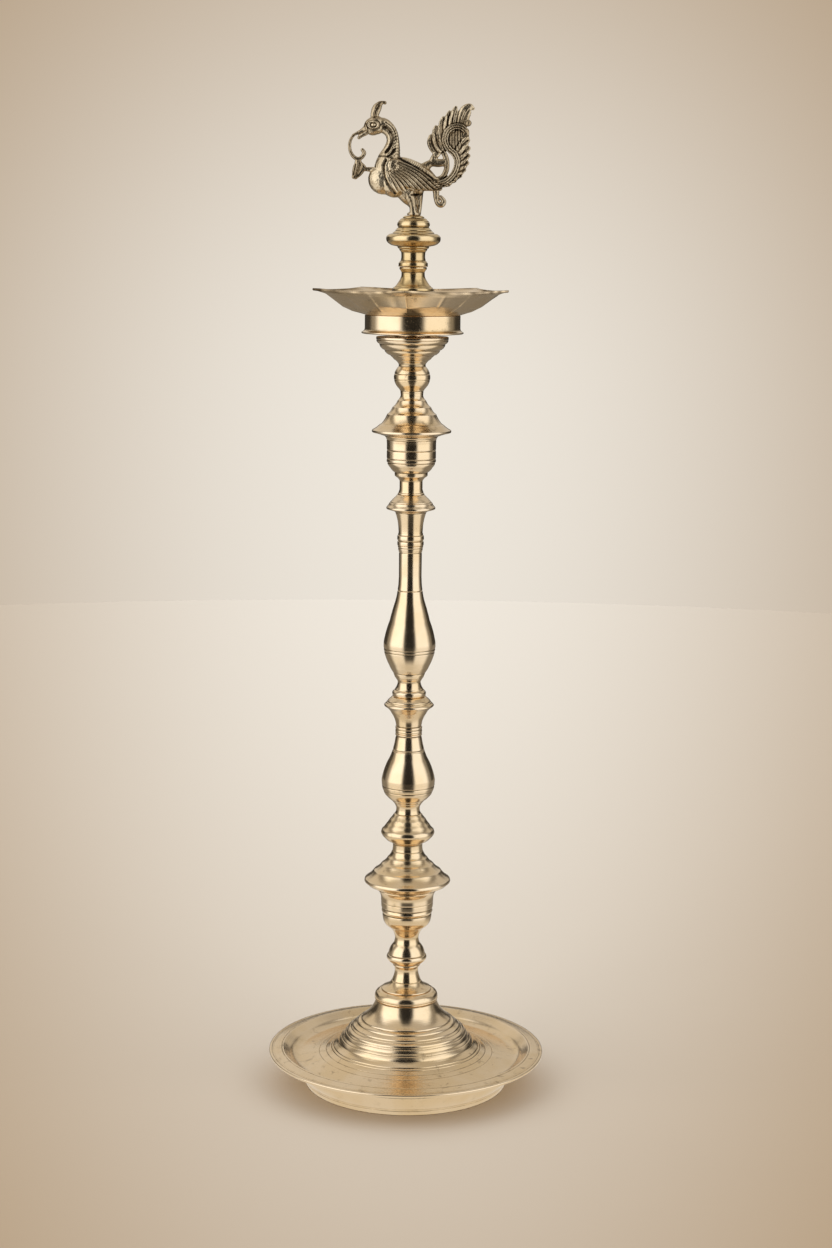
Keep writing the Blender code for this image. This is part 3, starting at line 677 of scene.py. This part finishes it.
UNDERSIDE = box_mm("wick_bowl")[0][2]     # height of the bowl's flat underside
FLAT_EDGE, HOLE, WALL, LIP = 43.0, 11.8, 1.5, 0.7
angle = np.linspace(-180, 180, 541)[:-1]
share = 1 - np.linspace(0, 1, 52)[:, None] ** 1.15 + 0 * angle
outer_r, outer_h = bowl_wall(angle, share)
inner_r, inner_h = bowl_wall(angle, share[::-1])
slope = np.gradient(inner_h, axis=0) / np.maximum(np.gradient(inner_r, axis=0), 1e-3)
slope = np.clip(slope, 0, 3)
thick = WALL + LIP * np.exp(-(((share[::-1] - 1) / 0.03) ** 2))
inner_r = inner_r - thick * slope / np.hypot(1, slope)
inner_h = inner_h + thick / np.hypot(1, slope)

# The rolled rim: half an ellipse from the outside round to the inside.
lip_turn = np.linspace(0, np.pi, 7)[1:-1, None]
rim_r, rim_h = (outer_r[:1] + inner_r[-1:]) / 2, (outer_h[:1] + inner_h[-1:]) / 2
half_r, half_h = (outer_r[:1] - inner_r[-1:]) / 2, (outer_h[:1] - inner_h[-1:]) / 2
lip_r = rim_r - half_r * np.cos(lip_turn) + 0.9 * np.sin(lip_turn)
lip_h = rim_h - half_h * np.cos(lip_turn) + 0.3 * np.sin(lip_turn)

# The flat middle, bowed a little, then the closed loop of the whole sheet.
flat_r = np.linspace(FLAT_EDGE, HOLE, 12)[:, None] + 0 * angle
across = (flat_r - HOLE) / 32
flat_h = 0.12 * np.sin(np.radians(angle) * 3) * across * (1 - across)
radius = np.concatenate([outer_r, flat_r, flat_r[::-1], inner_r, lip_r[::-1]])
height = np.concatenate([outer_h, flat_h, flat_h + WALL, inner_h, lip_h[::-1]])

# Soot and old oil: a worn line along the rim, in blotches, and the burnt tip of the left beak.
up_wall = np.concatenate([share, 0 * flat_r, 0 * flat_r, share[::-1], 1 + 0 * lip_r])
near_rim = np.exp(-(((up_wall - 1) / 0.06) ** 2))
blotch = 0.5 + 0.5 * np.sin(np.radians(angle) * 23 + radius) * np.sin(np.radians(angle) * 9)
off_tip = (angle - FIRST_BEAK + 180) % 360 - 180
burnt_tip = np.exp(-((off_tip / 9) ** 2)) * np.clip((radius - 84) / 6, 0, 1)
dark = np.clip(0.75 * near_rim * blotch + 0.95 * burnt_tip, 0, 1)
flat = [radius * np.cos(np.radians(angle)), radius * np.sin(np.radians(angle))]
grid = np.stack([*flat, UNDERSIDE + height], -1)[::-1] * MM
bowl = grid_object("wick_bowl_beaten", grid, around=True, along=True, numbers={"dark": dark[::-1]})
BEATEN = brass_finish("beaten_brass", PALE, DEEP, DIRT, shine=0.20, age=1.5, texture=2.6)
finish_piece(bowl, BEATEN, "wick_bowl", "polished_brass", "wick_bowl")

ring_low, ring_high = box_mm("bowl_foot_ring")
RING_LIP, RING_FOOT, RING_TOP = ring_high[0], ring_low[2], ring_high[2]
RING = RING_LIP - 2.6
ring_outer = turned_line(
    [
        (RING - 2.0, RING_TOP), (RING, RING_TOP), (RING, RING_FOOT + 5.2),
        (RING + 0.5, RING_FOOT + 3.4, -0.1), (RING_LIP, RING_FOOT + 1.8, -0.2),
        (RING_LIP, RING_FOOT + 0.3, 0.4), (RING + 1.6, RING_FOOT),
    ],
    edge=0.2,
)
ring_inner = [(RING - 2, RING_FOOT + 0.4), (RING - 2.2, RING_FOOT + 9)]
ring = turned_object("bowl_foot_ring_turned", *with_inside(ring_outer, ring_inner), around=160)
finish_piece(ring, POLISHED, "wick_bowl", "polished_brass", "bowl_foot_ring")

boss_low, boss_high = box_mm("bowl_boss")
NECK, SHOULDER = 11.5, UNDERSIDE - 0.3
BOSS, BOSS_FOOT, BOSS_TOP = boss_high[0], boss_low[2], boss_high[2]
boss_line = turned_line(
    [
        (0.02, BOSS_TOP - SOCKET_DEPTH), (SOCKET_RADIUS, BOSS_TOP - SOCKET_DEPTH),
        (SOCKET_RADIUS, BOSS_TOP), (NECK, BOSS_TOP), (NECK, SHOULDER), (BOSS, SHOULDER),
        (BOSS, BOSS_FOOT), (SOCKET_RADIUS, BOSS_FOOT), (SOCKET_RADIUS, BOSS_FOOT + SOCKET_DEPTH),
        (0.02, BOSS_FOOT + SOCKET_DEPTH),
    ],
    edge=0.15,
)[0]
boss_line[[0, -1], 0] = 0
boss = grid_object("bowl_boss_turned", turned_grid(boss_line[::-1], 96) * MM, around=True)
finish_piece(boss, POLISHED, "wick_bowl", "polished_brass", "bowl_boss")

# ---------------------------------------------------------------------------
# Finial post and knob, turned like the stem. The knob's top takes the bird.
# ---------------------------------------------------------------------------

OLD_GOLD = brass_finish(
    "old_gold_brass", (0.84, 0.66, 0.40, 1), (0.62, 0.44, 0.20, 1), DIRT, shine=0.15, age=1.6
)
stem_section(
    "finial_post",
    [
        (12.0, 41.5), (12.6, 40.8, 0.1), (12.4, 39.4, 0.1), (11.0, 37.4), (10.6, 35.0), (10.8, 33.0),
        (13.0, 28.4, -0.2), (15.8, 24.4, -0.1), (17.6, 23.0), (18.8, 21.6), (19.0, 20.6), (20.4, 18.8),
        (22.0, 13.8, -0.3), (24.6, 8.0, -0.3), (26.2, 5.4), (27.0, 4.4, 0.2), (27.0, 0),
    ],
    [(36.4, 0.3, 0.4), (19.9, 0.4, 0.4), (23.4, 0.3, 0.4), (5.6, 0.35, 0.4), (2.4, 0.3, 0.4)],
    finish=OLD_GOLD,
)


TANG_HOLE = 3.3


def knob_bore(length):
    """The inside of the knob, bottom to top: the stud's socket and the hole for the bird's tang."""
    end = SEAT_GAP + SOCKET_DEPTH
    return [(SOCKET_RADIUS, SEAT_GAP), (SOCKET_RADIUS, end), (TANG_HOLE, end), (TANG_HOLE, length)]


stem_section(
    "finial_knob",
    [
        (6.8, 47.0), (9.6, 45.6, 0.3), (10.2, 44.6), (12.6, 42.8, 0.4), (14.8, 39.6, 0.5),
        (14.9, 38.0, 0.2), (14.2, 36.4), (15.0, 35.4), (16.6, 33.6, -0.1), (17.2, 32.8),
        (18.8, 31.4, -0.1), (19.6, 30.4), (23.8, 28.8, 0.5), (25.0, 25.9, 0.4), (23.4, 22.0, 0.5),
        (18.6, 19.4, 0.4), (14.4, 18.6), (14.0, 17.0, 0.2), (12.8, 16.4), (12.4, 15.0, 0.2),
        (11.2, 13.6), (10.9, 9.0, -0.1), (11.6, 5.4, -0.1), (13.4, 3.4, 0.3), (13.5, 0),
    ],
    [
        (36.2, 0.4, 0.4), (33.2, 0.35, 0.35), (30.6, 0.35, 0.35), (44.8, 0.35, 0.4), (41.4, 0.3, 0.35),
        (4.4, 0.3, 0.4),
    ],
    knob_bore,
    OLD_GOLD,
)

# ---------------------------------------------------------------------------
# Bird: a hamsa with a vine in its beak, cast solid in one from a wax built up
# of rolled limbs and feathers, then chased. A tang under it fills the knob.
# ---------------------------------------------------------------------------

GRAIN = 0.5      # the spacing of the fused casting's points, in mm


def smooth_path(points, steps=8):
    """A curve through the points. On each span it is the cubic whose slope at either end is half the
    way from the point before that end to the point after it."""
    points = np.array(points, float)
    held = np.concatenate([2 * points[:1] - points[1:2], points, 2 * points[-1:] - points[-2:-1]])
    before, low, high, after = (held[i : len(held) - 3 + i, None] for i in range(4))
    t = np.linspace(0, 1, steps, endpoint=False)[:, None]
    square = before - 2.5 * low + 2 * high - 0.5 * after
    cube = 1.5 * (low - high) + 0.5 * (after - before)
    spans = low + 0.5 * (high - before) * t + square * t**2 + cube * t**3
    return np.concatenate([spans.reshape(-1, points.shape[1]), points[-1:]])


def limb(stations, flat=1.0, side=0.0):
    """A closed limb of wax through (x, height, half width) stations at y = side: its section is an
    ellipse, flat times as thick as wide, and half an ellipsoid closes each end."""
    path = smooth_path(stations)
    run = np.gradient(path[:, :2], axis=0)
    run /= np.hypot(*run.T)[:, None]
    cap = np.linspace(0, np.pi / 2, 7)[:-1, None]
    start = path[0, :2] - run[0] * path[0, 2] * np.cos(cap)
    end = path[-1, :2] + run[-1] * path[-1, 2] * np.cos(cap[::-1])
    middle = np.concatenate([start, path[:, :2], end])
    run = np.concatenate([np.repeat(run[:1], 6, 0), run, np.repeat(run[-1:], 6, 0)])
    width = np.concatenate([path[0, 2] * np.sin(cap), path[:, 2:], path[-1, 2] * np.sin(cap[::-1])])
    turn = np.linspace(0, 2 * np.pi, 24, endpoint=False)
    across, deep = width * np.cos(turn), width * np.sin(turn) * flat
    points = [middle[:, :1] - run[:, 1:] * across, side + deep, middle[:, 1:] + run[:, :1] * across]
    return grid_object("limb", np.stack(points, -1) * MM, around=True)


def tapered(start, end, widest, bow=0.0, tip=0.5):
    """Stations of a feather: a line from start to end, bowed to its left, widest past its middle."""
    start, end = np.array(start, float), np.array(end, float)
    share = np.linspace(0, 1, 5)[:, None]
    left = np.array([start[1] - end[1], end[0] - start[0]])
    line = start + (end - start) * share + left * bow * 4 * share * (1 - share)
    width = widest * np.array([0.62, 0.86, 1.0, 0.92, tip])[:, None]
    return np.concatenate([line, width], 1)


# Stations are (x, height, half width) in mm, from the middle of the feet.
S_BAND = [
    (19.0, 28.6), (28.0, 31.0), (34.4, 36.2), (38.2, 43.0), (39.2, 50.2), (36.6, 56.4), (31.8, 60.8),
    (28.6, 66.0), (28.2, 72.6), (31.2, 78.2), (36.6, 81.4), (42.4, 81.0), (46.6, 78.0),
]
INNER_BAND = [
    (13.0, 32.0), (20.0, 32.8), (26.0, 35.4), (29.2, 41.0), (29.9, 47.6), (28.6, 54.0), (25.4, 60.0),
]
LEFT_FEATHERS = [
    tapered((21.0, 57.0), (15.0, 72.0), 4.4, 0.10), tapered((23.6, 61.0), (19.6, 80.6), 4.0, 0.08),
    tapered((26.6, 68.0), (26.4, 89.0), 4.0, 0.06), tapered((30.0, 75.0), (32.0, 94.4), 3.6, 0.05),
    tapered((34.4, 79.0), (37.6, 98.6), 3.6, 0.04),
]
RIGHT_FEATHERS = [
    tapered((40.6, 56.0), (49.0, 69.0), 4.1, 0.12), tapered((40.6, 49.6), (49.6, 61.8), 4.3, 0.12),
    tapered((40.2, 43.6), (49.4, 55.0), 4.3, 0.12), tapered((38.6, 38.0), (48.4, 48.4), 4.3, 0.12),
    tapered((35.6, 33.6), (45.8, 42.2), 4.2, 0.12), tapered((31.4, 30.4), (42.2, 36.8), 4.1, 0.12),
    tapered((26.0, 28.6), (37.4, 32.0), 4.0, 0.12), tapered((20.6, 27.2), (32.0, 28.2), 3.6, 0.12),
]
WINGS = [(-19.0, 42.0, 8.6), (-10.0, 37.2, 10.6), (2.0, 33.0, 9.6), (13.0, 29.4, 7.0), (23.5, 25.8, 3.2)]
LIMBS = [
    # body and rump, thigh, neck, head
    (
        [
            (-28.0, 32.8, 14.0), (-20.6, 33.8, 18.0), (-11, 35.8, 17.6), (-1, 35.6, 14.8),
            (8, 34.2, 11.2), (17.6, 29.8, 6.6),
        ],
        0.72, 0,
    ),
    ([(-10, 26, 10.2), (-5.4, 17.6, 7.6), (-1.4, 12.2, 5.4)], 0.9, 0),
    (
        [
            (-33.6, 82.4, 7.2), (-27.4, 81.2, 6.9), (-21.8, 76.0, 5.9), (-19.6, 68.6, 5.8),
            (-20.4, 60.4, 7.6), (-23.0, 51.0, 10.6), (-25.0, 43, 11.5),
        ],
        0.86, 0,
    ),
    ([(-38.0, 80.8, 8.3), (-35.6, 82.0, 8.9)], 0.84, 0),
    # crest and its curl, beak, vine, bud
    (
        [
            (-37.2, 86.6, 3.0), (-36.4, 92.0, 3.9), (-34.4, 97.6, 4.2), (-31.6, 101.4, 2.7),
            (-29.0, 102.8, 1.5), (-27.2, 102.4, 1.7),
        ],
        0.72, 0,
    ),
    ([(-44.4, 78.4, 3.4), (-48.4, 76.2, 2.2), (-52.6, 74.4, 1.6), (-56.0, 72.8, 1.2)], 0.8, 0),
    ([(-44.6, 74.8, 2.4), (-48.6, 72.2, 1.7), (-50.6, 70.6, 1.7)], 0.8, 0),
    (
        [
            (-55.4, 73.0, 1.3), (-58.2, 68.6, 1.4), (-59.2, 63.2, 1.5), (-58.2, 57.4, 1.6),
            (-55.0, 52.8, 1.8), (-51.2, 51.2, 1.8), (-47.6, 53.0, 1.8), (-45.8, 56.6, 1.9),
            (-47.4, 59.4, 1.7),
        ],
        1, 0,
    ),
    ([(-52.0, 50.6, 2.2), (-51.0, 45.4, 4.4), (-53.0, 39.6, 3.9), (-55.2, 34.6, 1.9)], 0.62, 0),
    ([(-48.4, 47.0, 1.4), (-45.6, 43.4, 1.6), (-49.0, 37.8, 1.6), (-53.6, 33.8, 1.5)], 0.9, 0),
    ([(-47.0, 42.0, 1.7), (-38.0, 41.6, 2.4)], 1, 0),
    # legs, and the claw that hangs behind
    ([(-5.0, 21, 5.4), (-2.4, 14, 4.2), (-1.0, 8, 3.1), (-0.4, 1.6, 3.2)], 1, -2.8),
    ([(4.0, 25, 5.6), (4.8, 17, 3.6), (5.0, 9, 2.6), (4.0, 1.6, 2.7)], 1, 2.8),
    (
        [
            (20.4, 21.6, 3.0), (20.6, 15.4, 2.4), (22.4, 10.8, 2.4), (25.6, 10.0, 2.6),
            (27.4, 13.2, 2.4), (24.6, 17.0, 1.9),
        ],
        1, 0,
    ),
    # tail: root above the window, sheet inside the curl and its far side, curled top, seed
    ([(8.0, 42.4, 5.4), (15.0, 47.6, 3.4), (22.0, 48.0, 3.7), (28.0, 48.6, 3.4)], 0.8, 0),
    ([(15.6, 47.6, 3.2), (19.0, 54.0, 3.2), (22.4, 60.5, 3.6), (26.0, 68.0, 4.0)], 0.7, 0),
    ([(34.6, 59.0, 3.6), (36.0, 66.0, 6.8), (38.6, 73.6, 8.8), (41.0, 78.0, 6.2)], 0.22, 0),
    ([(42.6, 56.0, 3.2), (45.4, 63.0, 3.6), (46.6, 70.0, 3.5), (46.6, 77.0, 3.5)], 0.5, 0),
    (
        [(42.8, 80.0, 4.9), (44.2, 88.6, 5.7), (46.4, 95.2, 5.8), (50.4, 98.8, 4.0), (53.6, 98.0, 1.6)],
        0.42, 0,
    ),
    ([(49.0, 84.2, 2.8), (49.4, 84.8, 2.8)], 1, 0),
]
LIMBS += [([(x, z, 2.8) for x, z in S_BAND], 0.95, 0), ([(x, z, 2.5) for x, z in INNER_BAND], 0.85, 0)]
LIMBS += [(feather, 0.52, 0) for feather in LEFT_FEATHERS + RIGHT_FEATHERS]
LIMBS += [(WINGS, 0.33, side) for side in (-9.6, 9.6)]

wax = bmesh.new()
for stations, flat, side in LIMBS:
    rolled = limb(stations, flat, side)
    wax.from_mesh(rolled.data)
    bpy.data.objects.remove(rolled)

# The pad under the feet, and the tang below it.
FEET = box_mm("finial_knob")[1][2]
foot = [(0, 3.0), (5.2, 2.8), (6.1, 1.6), (6.1, 0.3), (2.8, 0.3), (2.8, -8.8), (2.2, -9.0), (0, -9.0)]
foot = respaced(np.array(foot), np.linspace(0, 27.4, 60))
pad = grid_object("pad", turned_grid(foot[::-1], 32) * MM, around=True)
wax.from_mesh(pad.data)
bpy.data.objects.remove(pad)
wax_mesh = bpy.data.meshes.new("bird_wax")
wax.to_mesh(wax_mesh)
wax.free()

# Casting makes one skin of it all: its volume is meshed again, and its corners flow a little.
model = bpy.data.objects.new("bird_wax", wax_mesh)
bpy.context.scene.collection.objects.link(model)
fused = model.modifiers.new("Fused", "REMESH")
fused.mode = "VOXEL"
fused.voxel_size = GRAIN * MM
flowed = model.modifiers.new("Flowed", "SMOOTH")
flowed.iterations = 3
graph = bpy.context.evaluated_depsgraph_get()
cast = bpy.data.meshes.new_from_object(model.evaluated_get(graph))
bpy.data.objects.remove(model)

# The skin's points and normals, and the points as seen from the side: (x, height).
spots = np.empty(len(cast.vertices) * 3, np.float32)
cast.vertices.foreach_get("co", spots)
spots = spots.reshape(-1, 3) / MM
facing = np.empty(spots.size, np.float32)
cast.vertex_normals.foreach_get("vector", facing)
facing = facing.reshape(-1, 3)
seen = spots[:, [0, 2]]


def near_line(stations):
    """Each point's distance to a smooth line drawn on the side of the bird, and how far along the
    line its nearest place is, in mm."""
    line = smooth_path(stations)[:, :2]
    run = np.concatenate([[0], np.cumsum(np.hypot(*np.diff(line, axis=0).T))])
    best, where = np.full(len(seen), 1e9), np.zeros(len(seen))
    for low, high, start, end in zip(line[:-1], line[1:], run[:-1], run[1:]):
        span = high - low
        share = np.clip((seen - low) @ span / (span @ span), 0, 1)
        off = np.hypot(*(seen - low - share[:, None] * span).T)
        closer = off < best
        best[closer], where[closer] = off[closer], (start + share * (end - start))[closer]
    return best, where


def beside(stations, offset):
    """The line that runs offset mm to the left of a smooth line."""
    path = smooth_path(stations)[:, :2]
    return path + outward(path) * offset


def bead(stations, rise, half_width):
    """The relief of a bead that stands rise proud along a line, or of a groove where rise is below 0:
    rise * exp(-(distance / half width)^2)."""
    return rise * np.exp(-((near_line(stations)[0] / half_width) ** 2))


relief = np.zeros(len(seen))

# feathers of the tail: a shaft line in each, a raised edge, and barbs that lean off the shaft
for feather in LEFT_FEATHERS + RIGHT_FEATHERS:
    off, where = near_line(feather)
    widest = feather[:, 2].max()
    own = np.exp(-((off / (widest * 0.95)) ** 6))
    relief += own * (0.05 * np.sin((where + off * 1.3) * 3.0) - 0.8 * np.exp(-((off / 0.6) ** 2)))
    relief += 0.45 * np.exp(-(((off - widest * 0.62) / 0.5) ** 2))
    relief -= 0.5 * np.exp(-(((off - widest) / 0.5) ** 2))

# the long curl: three roped reeds along it and hollow reeds in the sheet inside it
relief *= 1 - np.exp(-((near_line(S_BAND)[0] / 3.0) ** 8))
for edge in (-2.1, 0, 2.1):
    off, where = near_line(beside(S_BAND, edge))
    relief += 0.75 * np.exp(-((off / 0.6) ** 2)) * (0.9 + 0.2 * np.sin(where * 2 * np.pi / 1.7))
for edge in (-1.05, 1.05, -3.1, 3.1):
    relief += bead(beside(S_BAND, edge), -0.7, 0.5)
relief += bead(INNER_BAND, -0.6, 0.6)
for reed in (32.0, 34.6, 37.2, 39.8, 42.4):
    relief += bead([(reed, 79.4), (reed - 0.2, 71.0), (reed + (reed - 36.0) * 0.12, 61.0)], -0.8, 0.6)
relief += bead([(41.2, 84.4), (42.4, 90.4), (45.4, 96.2)], -0.6, 0.6)
relief += bead([(44.6, 84.4), (46.4, 91.4), (49.6, 96.4)], -0.6, 0.6)

# wings: ten long feathers from the shoulder to the lower edge, a raised barb beside each, a scroll
on_wing = np.clip((np.abs(spots[:, 1]) - 7.0) / 2.0, 0, 1)
for share in np.linspace(0, 1, 10):
    start = np.array([-13.5 - 10.5 * share, 50.6 - 12.0 * share - 6.5 * share * (1 - share)])
    end = np.array([26.4 - 40.0 * share, 25.6 - 6.6 * share])
    middle = (start + end) / 2 + np.array([1.2, 2.2]) * (1.2 - share)
    relief += bead([start, middle, end], -0.85, 0.62) * on_wing
    relief += bead([start + (1.0, 1.3), middle + (1.0, 1.3), end + (0.6, 1.2)], 0.30, 0.8) * on_wing
SCROLL = [
    (-14.6, 49.6), (-19.4, 50.6), (-22.4, 46.4), (-21.2, 41.6), (-16.8, 41.2), (-14.6, 44.6), (-16.6, 46.6),
]
relief += bead(SCROLL, 0.7, 0.8) * on_wing

# beads and grooves: the rolls in front of the wing and below it, then the line of the back
for stations, rise, half_width in (
    ([(-23.6, 50.4), (-25.6, 43.8), (-24.6, 35.4), (-20.8, 27.6), (-14.8, 20.6)], 0.9, 1.0),
    ([(-25.6, 50.2), (-27.8, 43.6), (-26.8, 34.6), (-22.8, 26.4), (-17.2, 19.4)], -1.1, 0.9),
    ([(-2.0, 21.6), (6.0, 22.6), (14.0, 22.0), (22.0, 22.6)], 0.7, 0.9),
    ([(-2.6, 18.6), (6.0, 19.4), (16.0, 18.8)], -0.8, 0.9),
    ([(-13.0, 51.6), (-3.0, 46.6), (7.0, 40.4), (17.0, 33.6), (27.0, 26.6)], -1.0, 0.9),
    ([(-12.0, 54.0), (-2.0, 49.6), (8.0, 43.6), (17.0, 37.0)], 0.35, 0.8),
    # neck: a twisting groove, the line behind it and the collar where it meets the breast
    ([(-28.4, 80.0), (-24.4, 78.6), (-20.9, 73.6), (-20.2, 67.4), (-22.6, 61.6), (-25.8, 57.6)], -1.3, 1.2),
    ([(-26.6, 84.6), (-20.6, 80.4), (-17.2, 74.2), (-16.6, 67.6)], -0.5, 0.6),
    ([(-39.0, 49.0), (-33.0, 53.4), (-26.0, 53.6), (-18.0, 51.4), (-12.0, 52.6)], -0.6, 0.8),
    # head: the eyeball, the root of the beak, the crest's hollow and the beak's slit
    ([(-37.9, 82.0), (-37.3, 82.0)], 1.0, 1.2),
    ([(-45.0, 83.4), (-42.6, 78.4), (-43.6, 74.4)], -0.6, 0.6),
    ([(-36.6, 89.0), (-35.4, 94.4), (-32.8, 99.4)], -0.9, 0.8),
    ([(-44.6, 76.6), (-49.4, 74.0), (-52.6, 72.6)], -0.4, 0.5),
    # bud: two slits
    ([(-53.6, 46.6), (-54.4, 41.4), (-55.6, 36.4)], -0.8, 0.55),
    ([(-50.2, 47.6), (-50.8, 42.4), (-53.0, 37.0)], -0.8, 0.55),
):
    relief += bead(stations, rise, half_width)

# short plumes across the outer side of the neck and above the breast, and three rings of the eye
for share in np.linspace(0, 1, 9):
    low = np.array([-18.6 + 0.2 * share, 76.0 - 22.0 * share])
    relief += bead([low, low + (2.0, 1.6), low + (5.4, 1.4)], -0.45, 0.5)
for share in np.linspace(0, 1, 5):
    low = np.array([-24.6 + 2.4 * share, 53.4 + 0.8 * share])
    relief += bead([low, low + (2.6, 2.2), low + (5.2, 6.4)], -0.6, 0.55)
angle = np.linspace(0, 2 * np.pi, 13)
for scale, rise, half_width in ((1.0, 0.8, 0.6), (0.62, -0.8, 0.6), (1.36, -0.5, 0.5)):
    eye = np.stack([-37.6 + 4.6 * scale * np.cos(angle), 82.0 + 3.2 * scale * np.sin(angle)], 1)
    relief += bead(eye, rise, half_width)

# scales on the back and rump, and the small pits of the casting
along, height = seen.T
on_back = np.exp(-(((along + 1.0) / 10) ** 4)) * (height < 60)
on_back *= np.clip((height - 44.5 + 0.45 * (along + 1)) / 2, 0, 1)
relief += 0.28 * on_back * np.sin(along * 2.4 + height * 1.1) * np.sin(height * 2.6 - along * 0.6)
waves = np.random.default_rng(4).normal(size=(3, 40))
waves *= np.linspace(1.2, 3.4, 40) / np.hypot.reduce(waves)
grit = np.sin(spots @ waves + np.arange(40)).sum(1) / math.sqrt(20)
relief += 0.07 * grit - 0.35 * np.clip(grit - 1.5, 0, 1)

# The relief moves the surface in mm, fully where it faces a side. The breast gets a painted highlight.
HALF_DEPTH = 13.8
relief[height < 0.6] = 0
sideways = np.sqrt(np.abs(facing[:, 1]))
spots += facing * (np.clip(relief, -1.5, 1.2) * (0.1 + 0.9 * sideways))[:, None]
spots[:, 1] = np.clip(spots[:, 1], -HALF_DEPTH, HALF_DEPTH)
cast.vertices.foreach_set("co", ((spots + (0, 0, FEET)) * MM).ravel())
# A painted highlight on the breast: paler brass and less stain there, stored in relief and tilt.
painted_breast_highlight = 0.8 * np.exp(-(((along + 31) / 9) ** 2) - ((height - 34) / 11) ** 2)
store(cast, "relief", np.clip(relief * 1.3 + painted_breast_highlight, -1, 1))
store(cast, "tilt", 0.3 * (1 - painted_breast_highlight))
bird = smooth_object("bird_finial_chased", cast)
HIGHS, HOLLOWS, CRUST = (0.78, 0.65, 0.455, 1), (0.285, 0.205, 0.115, 1), (0.030, 0.020, 0.012, 1)
AGED = brass_finish("aged_brass", HIGHS, HOLLOWS, CRUST, shine=0.27, age=1.2)
finish_piece(bird, AGED, "finial_knob", "aged_brass", "bird_finial")
